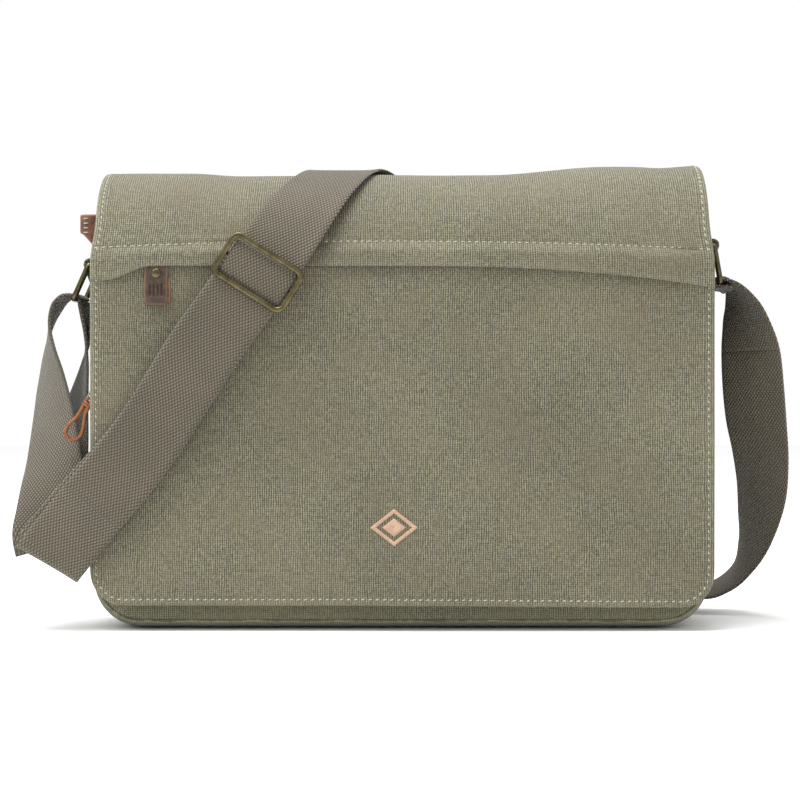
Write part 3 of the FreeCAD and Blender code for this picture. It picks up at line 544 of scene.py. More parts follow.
def thread_material(name, colour, shade):
    """Twisted cotton thread."""
    n = Nodes(name)
    twist = n.noise(n.coords("object")[0], 1.9, 2.0)
    n.link(n.mix(n.ramp(twist, (0.3, 0.7), (0.0, 1.0)), shade, colour), n.shader.inputs["Base Color"])
    n.set(Roughness=0.75, Sheen_Weight=0.3, Specular_IOR_Level=0.25)
    n.bump(twist, 0.4, 0.0002)
    return n.material


def rgb(r, g, b):
    """A colour given as 0 to 255 screen values, turned into linear light."""
    linear = []
    for c in (r, g, b):
        c /= 255.0
        linear.append(c / 12.92 if c <= 0.04045 else ((c + 0.055) / 1.055) ** 2.4)
    return tuple(linear) + (1.0,)


MATERIAL = {}


def make_materials():
    m = MATERIAL
    # The dark colour of each canvas stands partly for painted shade in its weave's hollows.
    khaki = dict(mid=rgb(104, 100, 80), dark=rgb(53, 50, 38), pale=rgb(148, 145, 124), blotch=rgb(101, 93, 75))
    m["canvas"] = canvas("washed canvas", **khaki)
    body = dict(mid=rgb(108, 106, 84), dark=rgb(62, 60, 44), pale=rgb(146, 144, 120), blotch=rgb(100, 91, 70))
    m["body_canvas"] = canvas("body canvas", **body)
    m["lining"] = canvas("lining twill", rgb(150, 134, 104), rgb(112, 98, 72), rgb(180, 164, 134),
                         rgb(140, 122, 92), pitch=1.0, strength=0.3, wear=0.2)
    # The webbing's dark colour is mostly the painted shade of its weave's hollows.
    m["webbing"] = webbing_material("ribbed webbing", rgb(119, 111, 95), rgb(46, 41, 32))
    m["tape"] = canvas("zip tape", rgb(96, 90, 68), rgb(70, 64, 46), rgb(120, 112, 88), rgb(88, 80, 60),
                       source="object", pitch=0.9, strength=0.3)
    m["brass"] = metal_material("antique brass", rgb(100, 92, 66), rgb(44, 41, 30), 0.27, 0.6)
    m["teeth"] = metal_material("zip brass", rgb(168, 148, 98), rgb(92, 78, 44), 0.32, 0.7)
    m["steel"] = metal_material("nickelled steel", rgb(200, 200, 196), rgb(120, 118, 112), 0.24, 0.5)
    m["dark_leather"] = leather_material("dark leather", rgb(40, 29, 22), rgb(74, 53, 39), rgb(112, 84, 58))
    m["mid_leather"] = leather_material("mid leather", rgb(72, 45, 30), rgb(112, 73, 47), rgb(152, 106, 70))
    m["tan_leather"] = leather_material("tan leather", rgb(108, 62, 30), rgb(152, 92, 46), rgb(180, 120, 70))
    m["thread"] = thread_material("cotton thread", rgb(190, 191, 172), rgb(128, 128, 108))
    m["peach"] = thread_material("peach thread", rgb(196, 168, 144), rgb(160, 126, 102))


# ---------------------------------------------------------------- flap
def flap_path(s, offset):
    """A point (y, z) of the flap's section, offset outwards from its inner face. s is the distance
    along that face, over the crown and down the front, from where the back starts to curve."""
    back_length = FLAP_BACK_R * math.pi / 2
    front_length = FLAP_FRONT_R * math.pi / 2
    if s < 0:
        return APEX_Y + FLAP_BACK_R + offset, FLAP_BACK_Z + s
    if s < back_length:
        radius, middle_z, angle = FLAP_BACK_R, FLAP_BACK_Z, s / FLAP_BACK_R
    elif s < back_length + front_length:
        radius, middle_z, angle = FLAP_FRONT_R, FLAP_FRONT_Z, math.pi / 2 + (s - back_length) / FLAP_FRONT_R
    else:
        return APEX_Y - FLAP_FRONT_R - offset, FLAP_FRONT_Z - (s - back_length - front_length)
    return APEX_Y + (radius + offset) * math.cos(angle), middle_z + (radius + offset) * math.sin(angle)


S_FRONT = (FLAP_BACK_R + FLAP_FRONT_R) * math.pi / 2      # where the front turns straight
S_SEAM = HINGE.z - FLAP_BACK_Z                            # just above the sewn hem


def s_at_height(z, offset=FLAP_THICK):
    """Distance along the flap where its front reaches a height."""
    if z <= FLAP_FRONT_Z:
        return S_FRONT + FLAP_FRONT_Z - z
    return S_FRONT - FLAP_FRONT_R * math.asin(min((z - FLAP_FRONT_Z) / (FLAP_FRONT_R + offset), 1.0))


def seam_height(x):
    """Height of the row of stitches across the flap."""
    return 262.0 - 4.5 * abs(x / FLAP_HALF) ** 2.4 - (1.2 * x / FLAP_HALF if x > 0 else 0.0)


def lip_height(x):
    """Height of the lip's lower edge, which droops to its sewn ends."""
    if x < 0:
        return LIP_Z - 9.5 * smooth((-168.0 - x) / 30.0)
    return LIP_Z - 14.7 * (x / FLAP_HALF) ** 2.4


def lip_lift(x):
    """How far the lip may stand out, from none at its sewn ends to all of it."""
    return 0.2 + 0.8 * smooth((FLAP_HALF - 3.0 - abs(x)) / 30.0)


def flap_ripple(x, s):
    """The flap's soft unevenness, in millimetres outwards."""
    return 0.9 * wobble(x, s, 0, 120, 3.0) + 0.35 * wobble(x, s, 0, 38, 8.0)


def crown_wave(x):
    """The crown's long rise and fall along the bag, in millimetres outwards."""
    return 1.1 * wobble(x, 0, 0, 170, 5.0)


def edge_wear(distance):
    """Paler cloth within a few millimetres of a fold or edge."""
    return max(0.0, 1.0 - distance / WEAR_REACH)


def settle(obj):
    """Lets the flap's crown rise and fall along its length, and its shoulders draw in a little."""
    for vertex in obj.data.vertices:
        x, _, z = vertex.co * 1000
        lowered = -1.6 - 1.8 * smooth((x + 150.0) / 35.0)
        strap_bump = 0.8 * math.exp(-((x + 30.0) / 25.0) ** 2)
        right_rise = 6.2 * smooth((x - 60.0) / 90.0) + 1.0 * smooth((x - 188.0) / 18.0)
        right_dip = 0.9 * math.exp(-((x - 180.0) / 10.0) ** 2)
        rise = lowered + strap_bump + right_rise - right_dip
        vertex.co.z += 0.001 * rise * smooth((z - 268.0) / 44.0)
        vertex.co.x *= 1.0 - 0.012 * smooth((z - 246.0) / 30.0)
        vertex.co.x += 0.0012 * smooth((x - 110.0) / 95.0)
    return obj


def flap_columns():
    inner = spread(-FLAP_HALF + 8, FLAP_HALF - 8, 76)
    edge = [FLAP_HALF, FLAP_HALF - 1.2, FLAP_HALF - 3.0, FLAP_HALF - 5.2]
    return [-x for x in edge] + inner + edge[::-1]


def edge_thinning(distance):
    """The cloth rounds over to its edge: how far the outer face draws in at a distance from it."""
    if distance >= EDGE_ROUNDING:
        return 0.0
    return 1.5 * (1 - math.sqrt(max(0.0, 1 - (1 - distance / EDGE_ROUNDING) ** 2)))


def flap_upper():
    """The upper canvas, from the back seam over the crown, through the stitch row to the lip's edge."""
    columns = flap_columns()
    sheet = Sheet()
    for s in spread(S_SEAM - HEM_TUCK, s_at_height(CROWN_END_Z), 44):
        sheet.new_row()
        for x in columns:
            edge = FLAP_HALF - abs(x)
            rise = flap_ripple(x, s) + crown_wave(x)
            outside = flap_path(s, FLAP_THICK + rise - edge_thinning(edge))
            inside = flap_path(s, 0.5 + rise + edge_thinning(edge))
            sheet.add((x,) + outside, (x,) + inside, (x, -s, edge_wear(edge)))
    steps = 14
    for step in range(1, steps + 1):
        t = step / steps
        sheet.new_row()
        for x in columns:
            edge = FLAP_HALF - abs(x)
            seam, low = seam_height(x), lip_height(x)
            height = CROWN_END_Z + (low - CROWN_END_Z) * t
            s = s_at_height(height)
            lift = lip_lift(x) * 3.4 * smooth((seam - height) / 6.5)
            dip = 0.55 * math.exp(-((height - seam) / 1.3) ** 2)
            rise = flap_ripple(x, s) * (1 - 0.5 * t) + lift - dip + LIP_PROUD
            hollow = smooth((265 - height) / 6.0)
            under = FLAP_THICK + rise - 1.9 * hollow - 3.4 * (1 - hollow)
            outside = flap_path(s, FLAP_THICK + rise - edge_thinning(edge))[0]
            inside = flap_path(s, max(under, 0.6))[0]
            turned_up = 0.5 if step == steps else 0.0
            lip_wear, seam_wear = edge_wear(abs(height - low)) * 0.8, 0.45 * edge_wear(abs(height - seam))
            wear = max(edge_wear(edge), lip_wear, seam_wear)
            sheet.add((x, outside, height), (x, inside, height + turned_up), (x, -s, wear))
    made = slab("flap_upper_canvas_cloth", sheet)
    settle(finish_piece(made, None, MATERIAL["canvas"], ["flap_upper_canvas"]))
    blend_at_hinge(made)


def blend_at_hinge(obj):
    """Works out a weight for each point of a piece, between the bag and the flap, over a few millimetres about
    the sewn seam at the back; the weights are not kept.
    """
    def weight(point, _):
        if point.y < 20.0:
            return 1.0
        return smooth((point.z - HINGE.z + 4.0) / 14.0)

    weigh(obj, weight)


def flap_half_width(z):
    """Half of the flap's width at a height, with its rounded lower corners."""
    return rounded_half(FLAP_HALF, FLAP_CORNER_R, z - FLAP_BOTTOM)


def flap_edge_distance(x, z):
    """Distance from a point on the flap's front to its edge."""
    return edge_distance(x, z, FLAP_HALF, FLAP_BOTTOM, FLAP_CORNER_R)


def bottom_sag(x):
    """The lower edge hangs a little lower to the right."""
    return -1.2 * smooth((x + 40) / 240.0) + 0.5 * wobble(x, 0, 0, 60, 2.0)


def flap_front_point(x, z, inside=False):
    """A point on the outer or inner face of the flap's front."""
    edge = flap_edge_distance(x, z)
    rise = flap_ripple(x, s_at_height(z))
    low = 1 - smooth((z - FLAP_BOTTOM) / 60.0)
    rise += 1.6 * low * wobble(x, 0, 0, 95, 11.0)
    dimple = 0.5 * math.exp(-((edge - STITCH_INSET) / 1.1) ** 2)
    if inside:
        y = APEX_Y - FLAP_FRONT_R - 0.5 - rise - edge_thinning(edge)
    else:
        y = FLAP_OUT_Y - rise + edge_thinning(edge) + dimple
    return Vector((x, y, z + bottom_sag(x) * low))


def flap_lower():
    """The lower canvas, from under the lip to the bottom hem, with rounded corners."""
    steep = [FLAP_BOTTOM + FLAP_CORNER_R * (1 - math.cos(math.radians(a))) for a in range(0, 91, 9)]
    steep.insert(1, FLAP_BOTTOM + 0.9)
    sheet = Sheet()
    for z in steep + spread(FLAP_BOTTOM + FLAP_CORNER_R + 5, LOWER_CANVAS_TOP, 43):
        half = flap_half_width(z)
        sheet.new_row()
        for column in flap_columns():
            x = column if half == FLAP_HALF else column / FLAP_HALF * half
            wear = edge_wear(flap_edge_distance(x, z))
            sheet.add(flap_front_point(x, z), flap_front_point(x, z, True), (x, z, wear))
    made = slab("flap_lower_canvas_cloth", sheet)
    settle(finish_piece(made, "flap", MATERIAL["canvas"],
                        ["flap_lower_canvas", "flap_edge_facing", "flap_pocket_bag"]))


def flap_lining():
    """The lining, sewn to the flap's inner face a little inside its edge."""
    inset = 7.0
    columns = spread(-FLAP_HALF + inset, FLAP_HALF - inset, 46)
    heights = spread(FLAP_BOTTOM + inset, 246.0, 26)[::-1]
    over_crown_rows = [(s, LINING_ARC_Z) for s in spread(S_SEAM - HEM_TUCK, s_at_height(LINING_ARC_Z), 34)]
    sheet = Sheet()
    for row, (s, z_low) in enumerate(over_crown_rows + [(s_at_height(z), z) for z in heights]):
        sheet.new_row()
        half = flap_half_width(max(z_low - inset, FLAP_BOTTOM)) - inset
        for column in columns:
            x = column * half / (FLAP_HALF - inset)
            rise = flap_ripple(x, s) * 0.8
            if row < len(over_crown_rows):
                rise += crown_wave(x)
            edge = half - abs(x)
            puff = 0.5 * smooth(edge / 12.0) * wobble(x, s, 0, 30, 17.0)
            outside, inside = flap_path(s, 0.3 + rise), flap_path(s, -0.7 - puff + rise)
            sheet.add((x,) + outside, (x,) + inside, (x, -s, 0.3 * edge_wear(edge)))
    made = slab("flap_lining_cloth", sheet)
    settle(finish_piece(made, None, MATERIAL["lining"], ["flap_lining"]))
    blend_at_hinge(made)


def flap_outline(inset, top):
    """Points round the flap's front at an inset from its edge, from the left side to the right."""
    half, low = FLAP_HALF - inset, FLAP_BOTTOM + inset
    radius = FLAP_CORNER_R - inset
    line = [(-half, z) for z in spread(top, low + radius, 40)]
    line += arc(-half + radius, low + radius, radius, 180, 270, 14)[1:]
    line += [(x, low) for x in spread(-half + radius, half - radius, 60)[1:]]
    line += arc(half - radius, low + radius, radius, 270, 360, 14)[1:]
    line += [(half, z) for z in spread(low + radius, top, 40)[1:]]
    return [flap_front_point(x, z) for x, z in line]


def flap_stitching():
    """The rows of stitches round the flap's edge, across its seam and along the crown's sides."""
    settle(stitches("flap_edge_stitches", flap_outline(STITCH_INSET, 243.0), "flap", (0, -1, 0)))
    seam = []
    for x in spread(-FLAP_HALF + 1.0, FLAP_HALF - 1.0, 90):
        z = seam_height(x)
        s = s_at_height(z)
        seam.append(Vector((x, flap_path(s, FLAP_THICK + flap_ripple(x, s) - 0.1)[0], z)))
    settle(stitches("flap_seam_stitches", seam, "flap", (0, -0.97, 0.25), slant=8.0))
    for name, side in (("left", -1), ("right", 1)):
        x = side * (FLAP_HALF - STITCH_INSET)
        line = []
        for z in spread(235.0, 263.0, 8):
            s = s_at_height(z)
            line.append(Vector((x, flap_path(s, FLAP_THICK + flap_ripple(x, s) + 0.25)[0], z)))
        for s in spread(s_at_height(263.0), 16.0, 40)[1:]:
            rise = flap_ripple(x, s) + crown_wave(x)
            line.append(Vector((x,) + flap_path(s, FLAP_THICK + rise - 0.1)))
        centre = Vector((x, APEX_Y, FLAP_FRONT_Z))
        settle(stitches("flap_" + name + "_crown_stitches", line, "flap", lambda p, c=centre: p - c))


def emblem():
    """Two nested lozenges in satin stitch: many threads laid side by side."""
    points, faces = [], []
    rings, sides, radius, height = 4, 5, 0.34, 0.5
    middle_x, middle_z = -5.0, 70.0
    half_wide, half_tall = 16.0, 12.5

    def thread(a, b):
        start = len(points)
        ahead = unit(b - a)
        out = Vector((0, -1, 0))
        across = ahead.cross(out)
        for r in range(rings):
            t = r / (rings - 1)
            bow = math.sin(math.pi * t)
            for k in range(sides):
                angle = 2 * math.pi * k / sides
                offset = across * radius * math.cos(angle) + out * (radius * math.sin(angle) + height * bow)
                points.append(a.lerp(b, t) + offset)
        faces.extend(tube_faces(rings, sides, start))

    def at(dx, dz):
        base = flap_front_point(middle_x + dx, middle_z + dz)
        return base + Vector((0, -0.15, 0))

    for outer, inner, count in ((1.0, 0.76, 30), (0.5, 0.0, 15)):
        for side_x in (-1, 1):
            for side_z in (-1, 1):
                for i in range(count):
                    t = (i + 0.5) / count
                    a = at(side_x * half_wide * outer * t, side_z * half_tall * outer * (1 - t))
                    b = at(side_x * half_wide * inner * t, side_z * half_tall * inner * (1 - t))
                    thread(a, b)
    made = mesh_object("flap_emblem_threads", points, faces)
    finish_piece(made, "flap", MATERIAL["peach"], ["flap_emblem"])


def hem_face(x, z):
    """How far back the outer face of the strip below the fold lies."""
    return 54.2 + 0.5 * wobble(x, z, 0, 50, 4.0)


def back_hem():
    """The flap's strip sewn to the back panel below the fold."""
    columns = spread(-FLAP_HALF, FLAP_HALF, 60)
    sheet = Sheet()
    for z in (245.5, 246.5, 249, 252, 256, 260, 264, 267.5):
        sheet.new_row()
        row_dip = 0.5 * math.exp(-((z - 249) / 1.2) ** 2) + (0.8 if z < 246 else 0.0)
        for x in columns:
            sheet.add((x, hem_face(x, z) - row_dip, z), (x, 50.6, z), (x, z, edge_wear(z - 245.5)))
    made = slab("flap_back_hem_cloth", sheet)
    finish_piece(made, "bag", MATERIAL["canvas"], ["flap_back_hem"])
    for name, z, dip in (("low", 249.2, 0.2), ("high", 262.5, 0.0)):
        line = [Vector((x, hem_face(x, z) - dip, z)) for x in spread(-FLAP_HALF + 3, FLAP_HALF - 3, 60)]
        stitches("back_hem_" + name + "_stitches", line, "bag", (0, 1, 0))


# ---------------------------------------------------------------- bag body
def body_half_width(z):
    """Half of the body's width at a height, with its rounded lower corners."""
    return rounded_half(BODY_HALF, CORNER_R, z - SEAM_Z)


def body_edge_distance(x, z):
    """Distance from a point on the front or back to its seam."""
    return edge_distance(x, z, BODY_HALF, SEAM_Z, CORNER_R)


def mouth_edge(x):
    """Half of the gap between the top canvas edges, either side of the crown line."""
    return (MOUTH_HALF_GAPE + TAPE_WIDTH) * max(0.0, 1 - (x / (MOUTH_HALF_LENGTH + 6)) ** 2)


def body_point(x, s, front, inset):
    """A point on the front or back canvas. s runs from 0 at the bottom seam to 1 where the top starts
    to curve, and to 2 where it meets the zip tape. inset draws the point inwards."""
    sign = -1 if front else 1
    face_y = FRONT_Y if front else BACK_Y
    dome_r = FRONT_DOME_R if front else BACK_DOME_R
    dome_z = BODY_TOP - dome_r
    if s <= 1:
        z = SEAM_Z + (dome_z - SEAM_Z) * s
        edge = body_edge_distance(x, z)
        tuck = 1.8 * (1 - smooth(edge / 5.0))
        puff = 1.2 * smooth(edge / 60.0) + 0.7 * wobble(x, z, 0, 70, 21.0 + sign)
        return Vector((x, face_y + sign * (puff - tuck - inset), z))
    a = math.acos(min(mouth_edge(x) / dome_r, 1.0)) * (s - 1)
    edge = BODY_HALF - abs(x)
    tuck = 1.8 * (1 - smooth(edge / 5.0))
    soft = 1.2 * (2 - s) + 0.6 * wobble(x, a * 40, 0, 60, 31.0 + sign) * (2 - s)
    radius = dome_r + soft - tuck - inset
    return Vector((x, APEX_Y + sign * radius * math.cos(a), dome_z + radius * math.sin(a)))


def body_shell(front):
    """The front or back canvas with its half of the rounded top, in one piece."""
    name = "front" if front else "back"
    edge = [BODY_HALF, BODY_HALF - 1.5, BODY_HALF - 4.0]
    columns = [-x for x in edge] + spread(-BODY_HALF + 8, BODY_HALF - 8, 60) + edge[::-1]
    dome_r = FRONT_DOME_R if front else BACK_DOME_R
    rise = BODY_TOP - dome_r - SEAM_Z
    steep = [CORNER_R * (1 - math.cos(math.radians(a))) / rise for a in range(0, 91, 10)]
    steep.insert(1, 0.8 / rise)
    stations = steep + spread(CORNER_R / rise + 0.02, 1.0, 34) + [1 + t for t in spread(0.06, 1.0, 16)]
    sheet = Sheet()
    for s in stations:
        rows = sheet.new_row()
        z = SEAM_Z + rise * min(s, 1)
        half = body_half_width(z)
        for column in columns:
            x = column if half == BODY_HALF else column / BODY_HALF * half
            rows[0].append(body_point(x, s, front, 0.0))
            rows[1].append(body_point(x, s, front, 1.5))
            along = z if s <= 1 else z + (s - 1) * dome_r * 1.2
            worn = edge_wear(body_edge_distance(x, z)) if s <= 1 else edge_wear(BODY_HALF - abs(x))
            rows[2].append((x, along, worn))
    made = slab(name + "_canvas_shell", sheet)
    finish_piece(made, "bag", MATERIAL["body_canvas"], [name + "_panel", "top_panel_" + name])


def section_reach(z):
    """Front and back y of the body's side outline at a height."""
    front, back = FRONT_Y, BACK_Y
    front_z, back_z = BODY_TOP - FRONT_DOME_R, BODY_TOP - BACK_DOME_R
    if z > front_z:
        front = APEX_Y - math.sqrt(max(0.0, FRONT_DOME_R ** 2 - (z - front_z) ** 2))
    if z > back_z:
        back = APEX_Y + math.sqrt(max(0.0, BACK_DOME_R ** 2 - (z - back_z) ** 2))
    return front, back


def gusset():
    """One long strip sewn between the front and back: down the left, under the bag, up the right."""
    line = [(-1, z) for z in (300.8, 299, 296, 291, 285, 277, 268)]
    line += [(-1, z) for z in spread(258, SEAM_Z + CORNER_R, 26)]
    path = [(Vector((side * BODY_HALF, 0, z)), Vector((side, 0, 0)), z) for side, z in line]
    for a in spread(180, 270, 10)[1:-1]:
        turn = math.radians(a)
        centre = Vector((-BODY_HALF + CORNER_R, 0, SEAM_Z + CORNER_R))
        out = Vector((math.cos(turn), 0, math.sin(turn)))
        path.append((centre + out * CORNER_R, out, SEAM_Z + CORNER_R))
    path += [(Vector((x, 0, SEAM_Z)), Vector((0, 0, -1)), SEAM_Z) for x in spread(-BODY_HALF + CORNER_R, 0, 18)]
    path += [(Vector((-p.x, p.y, p.z)), Vector((-out.x, out.y, out.z)), z) for p, out, z in path[::-1][1:]]
    shares = [-1, -0.985, -0.94, -0.86, -0.74, -0.58, -0.4, -0.2, 0, 0.2, 0.4, 0.58, 0.74, 0.86, 0.94, 0.985, 1]
    sheet = Sheet()
    along = 0.0
    for i, (point, out, z) in enumerate(path):
        if i:
            along += (point - path[i - 1][0]).length
        front, back = section_reach(z)
        low = smooth((60 - point.z) / 60)
        swell = 3.2 * (1 - low) * smooth((300 - point.z) / 80) + SEAM_Z * low
        belly = smooth((point.z - 20) / 60) * smooth((175 - point.z) / 70)
        swell += (6.0 if point.x > 0 else 3.0) * belly
        rows = sheet.new_row()
        for share in shares:
            middle, half = (front + back) / 2, (back - front) / 2
            y = middle + (half - 0.4) * share
            bulge = swell * (1 - abs(share) ** (2.4 + 3.6 * low))
            if abs(share) == 1:
                bulge = -0.8
            crumple = (1 - low) * 0.9 * wobble(y, point.z, point.x, 55, 14.0) * (1 - share ** 4)
            spot = point + out * (bulge + crumple)
            rows[0].append((spot.x, y, max(spot.z, 0.0) if low > 0.9 else spot.z))
            spot = spot - out * 1.5
            rows[1].append((spot.x, y * 0.995, spot.z))
            rows[2].append((y, along, edge_wear(half * (1 - abs(share))) * 0.8))
    made = slab("gusset_strip", sheet)
    finish_piece(made, "bag", MATERIAL["body_canvas"],
                 ["side_gusset_left", "side_gusset_right", "base_panel"])


def lining_bag():
    """The lining: a soft cup inside the canvas, open at the top."""
    count = 96

    def cup(inset):
        """Rings of points from the middle of the bottom outwards and up to the rim."""
        rings = []
        heights = [(0.0, 2.6), (0.5, 2.6), (0.85, 2.7), (0.97, 3.8)] + [(1.0, z) for z in spread(12, 236, 22)]
        for scale, z in heights:
            ring = []
            lift = min(max(z - 3.0, 0) / 27.0, 1.0)
            half_x = (205.0 - inset) - 26.0 * (1 - math.sqrt(max(0.0, 1 - (1 - lift) ** 2)))
            half_y = 47.3 - inset
            for k in range(count):
                turn = 2 * math.pi * k / count
                c, s = math.cos(turn), math.sin(turn)
                x = half_x * math.copysign(abs(c) ** 0.16, c) * max(scale, 0.02)
                y = half_y * math.copysign(abs(s) ** 0.16, s) * max(scale, 0.02)
                crease = abs(0.4 * wobble(x, y, z, 34, 41.0) * smooth(z / 40))
                ring.append((x - math.copysign(crease, x), y - math.copysign(crease, y), z + inset * 0.6))
            rings.append(ring)
        return rings

    rings = cup(0.0) + cup(0.9)[::-1]
    points = [p for ring in rings for p in ring]
    coords = [(p[0] + p[1], p[2], 0.0) for p in points]
    faces = tube_faces(len(rings), count)
    made = mesh_object("lining_bag", points, faces, coords)
    finish_piece(made, "bag", MATERIAL["lining"], ["lining"])


def pad(name, half_x, z0, z1, y0, y1, corner, replaced, channels=0):
    """A thin stuffed panel, crowned, with a bound edge and sewn channels."""
    columns = [-1, -0.985, -0.95, -0.9] + spread(-0.82, 0.82, 26) + [0.9, 0.95, 0.985, 1]
    rows_at = [0, 0.02, 0.05] + spread(0.1, 0.9, 18) + [0.95, 0.98, 1]
    sheet = Sheet()
    middle, thick = (y0 + y1) / 2, abs(y1 - y0) / 2
    for t in rows_at:
        z = z0 + (z1 - z0) * t
        rows = sheet.new_row()
        near = min(z - z0, z1 - z)
        half = rounded_half(half_x, corner, near)
        for c in columns:
            x = c * half
            edge = min(half - abs(x), near)
            crown = thick * (0.45 + 0.55 * smooth(edge / 14.0))
            if channels:
                phase = (x + half_x) / (2 * half_x) * channels
                crown -= thick * 0.35 * math.exp(-((phase - round(phase)) * 40) ** 2) * smooth(edge / 10.0)
            rows[0].append((x, middle - crown, z))
            rows[1].append((x, middle + crown, z))
            rows[2].append((x, z, edge_wear(edge) * 0.4))
    made = slab(name, sheet)
    return finish_piece(made, "bag", MATERIAL["lining"], replaced)


def insides():
    """The padded divider and the slip pocket."""
    divider = pad("padded_divider", 185, 4.5, 215, 26.2, 30.9, 14, ["laptop_divider"], channels=5)
    pad("slip_pocket_cloth", 110, 60, 190, -42.1, -40.7, 9, ["inner_slip_pocket"])
    line = [Vector((x, -42.2, 186.5)) for x in spread(-106, 106, 30)]
    stitches("slip_pocket_stitches", line, "bag", (0, -1, 0))


def flat_pocket(name, half_x, z0, z1, face_y, depth, corner, sign, replaced):
    """An outside pocket: a gathered panel whose edges are sewn down all round."""
    columns = [-1, -0.992, -0.975, -0.95] + spread(-0.9, 0.9, 50) + [0.95, 0.975, 0.992, 1]
    rows_at = [0, 0.012, 0.03, 0.06] + spread(0.1, 0.92, 26) + [0.96, 0.985, 1]
    sheet = Sheet()
    for t in rows_at:
        z = z0 + (z1 - z0) * t
        rows = sheet.new_row()
        near = z - z0
        half = rounded_half(half_x, corner, near)
        for c in columns:
            x = c * half
            edge = min(half - abs(x), near) if t < 0.5 else half - abs(x)
            puff = depth * smooth(edge / 9.0) * (0.86 + 0.14 * wobble(x, z, 0, 45, 51.0))
            y = face_y + sign * (0.9 + puff)
            rows[0].append((x, y, z))
            rows[1].append((x, y - sign * 1.0, z))
            rows[2].append((x, z, max(edge_wear(edge), edge_wear(z1 - z))))
    made = slab(name + "_cloth", sheet)
    finish_piece(made, "bag", MATERIAL["body_canvas"], replaced)
    inset = 3.2
    left = [(-half_x + inset, z) for z in spread(z1 - 2, z0 + corner, 20)]
    left += arc(-half_x + corner, z0 + corner, corner - inset, 180, 270, 8)[1:]
    line = [Vector((x, face_y + sign * 1.6, z)) for x, z in left]
    line += [Vector((-p.x, p.y, p.z)) for p in line[::-1]]
    stitches(name + "_stitches", line, "bag", (0, sign, 0))
    hem_y = face_y + sign * (1.0 + depth * 0.9)
    hem = [Vector((x, hem_y, z1 - 3.5)) for x in spread(-half_x + 6, half_x - 6, 30)]
    stitches(name + "_hem_stitches", hem, "bag", (0, sign, 0))


# ---------------------------------------------------------------- zips
def teeth_row(name, line, out, body, replaced=()):
    """Metal zip teeth along a list of (point, inward direction); out is the side they stand up on."""
    wide, reach, tall, pitch = 1.5, 2.2, 1.5, 2.3
    outline = [(-1, -1), (-0.35, -1), (0.35, -0.7), (1, -0.55), (1, 0.55), (0.35, 0.7), (-0.35, 1), (-1, 1)]
    levels = ((0.0, 1.0), (0.75, 1.0), (1.0, 0.72))
    places = [point for point, _ in line]
    count = int(path_steps(places)[-1] / pitch)
    points, faces = [], []
    for centre, ahead, index in at_distances(places, [(n + 0.5) * pitch for n in range(count)]):
        inward = unit(line[index][1])
        start = len(points)
        for level, shrink in levels:
            for a, b in outline:
                spot = centre + inward * (a * reach / 2 * shrink) + ahead * (b * wide / 2 * shrink)
                points.append(spot + Vector(out) * (tall * level))
        faces += tube_faces(len(levels), len(outline), start)
    made = mesh_object(name, points, faces)
    for polygon in made.data.polygons:
        polygon.use_smooth = False
    return finish_piece(made, body, MATERIAL["teeth"], replaced)


def straight_zip(name, z, half_length, face_y, sign, body, replaced):
    """A closed zip: two interlocking rows of teeth on a flat tape."""
    for part, (side, shift) in enumerate(((1, 0.0), (-1, 1.15))):
        line = [(Vector((x + shift, face_y + sign * 0.9, z + side * 0.55)), Vector((0, 0, -side)))
                for x in spread(-half_length, half_length - 1.5, 40)]
        teeth_row(name + ("_teeth_upper", "_teeth_lower")[part], line, (0, sign, 0), body,
                  replaced=replaced if part == 0 else ())


def dome_point(x, gap, front, lift):
    """A point on the rounded top at a distance from the crown line."""
    radius = FRONT_DOME_R if front else BACK_DOME_R
    sign = -1 if front else 1
    a = math.acos(min(gap / radius, 1.0))
    lifted = radius + lift
    return Vector((x, APEX_Y + sign * lifted * math.cos(a), BODY_TOP - radius + lifted * math.sin(a)))


def main_zip():
    """The open main zip: a tape along each side of the mouth, edged with teeth."""
    for front in (True, False):
        name = "front" if front else "back"
        columns = spread(-MOUTH_HALF_LENGTH - 5.5, MOUTH_HALF_LENGTH + 5.5, 90)
        sheet = Sheet()
        for t in (0, 0.12, 0.3, 0.55, 0.8, 1.0):
            rows = sheet.new_row()
            for x in columns:
                wide = mouth_edge(x) + 3.0
                narrow = MOUTH_HALF_GAPE * max(0.0, 1 - (x / MOUTH_HALF_LENGTH) ** 2) + 0.3
                gap = narrow + (wide - narrow) * t
                sag = -0.9 - 0.5 * t
                rows[0].append(dome_point(x, gap, front, sag))
                rows[1].append(dome_point(x, gap, front, sag - 0.7))
                rows[2].append((x, gap, 0.0))
        made = slab("main_zip_tape_" + name + "_cloth", sheet, levels=0)
        finish_piece(made, "bag", MATERIAL["tape"], ["main_zip_tape_" + name])
        line = []
        for x in spread(-MOUTH_HALF_LENGTH + 14, MOUTH_HALF_LENGTH - 1, 90):
            gap = MOUTH_HALF_GAPE * max(0.0, 1 - (x / MOUTH_HALF_LENGTH) ** 2) + 1.1
            spot = dome_point(x, gap, front, -0.9)
            line.append((spot, Vector((0, 1 if front else -1, 0.2))))
        teeth_row("main_zip_teeth_" + name, line, (0, 0, 1), "bag",
                  replaced=["main_zip_teeth"] if front else ())


# ---------------------------------------------------------------- webbing strap
STRAP_SLOPE, STRAP_LEAN = 0.731, 0.0446
SLIDER_Z, SLIDER_OFF = 240.0, 14.2
STRAP_TOP_Z = 317.4
STRAP_BACK_Y = 57.6
FOLD_Z, FOLD_R, LAYER_GAP = 50.0, 5.0, 2.4
CROWN_X, BACK_X = -38.0, 2.0
FOLD_SKEW, UNDER_FOLD_SKEW, UNDER_ASIDE = 6.0, 10.0, 3.0
UNDER_FOLD_Z = FOLD_Z + 3.0
BOW, BOW_TOP_Z = 6.0, 200.0
BACK_RUN_END, BACK_RISE_SLOPE = 20.0, 0.81
HINGE_SHARE = 0.93              # where the bend over the seam hands over to the flap
FLAP_EDGE_Z = 84.0              # below this height the strap hangs free of the flap


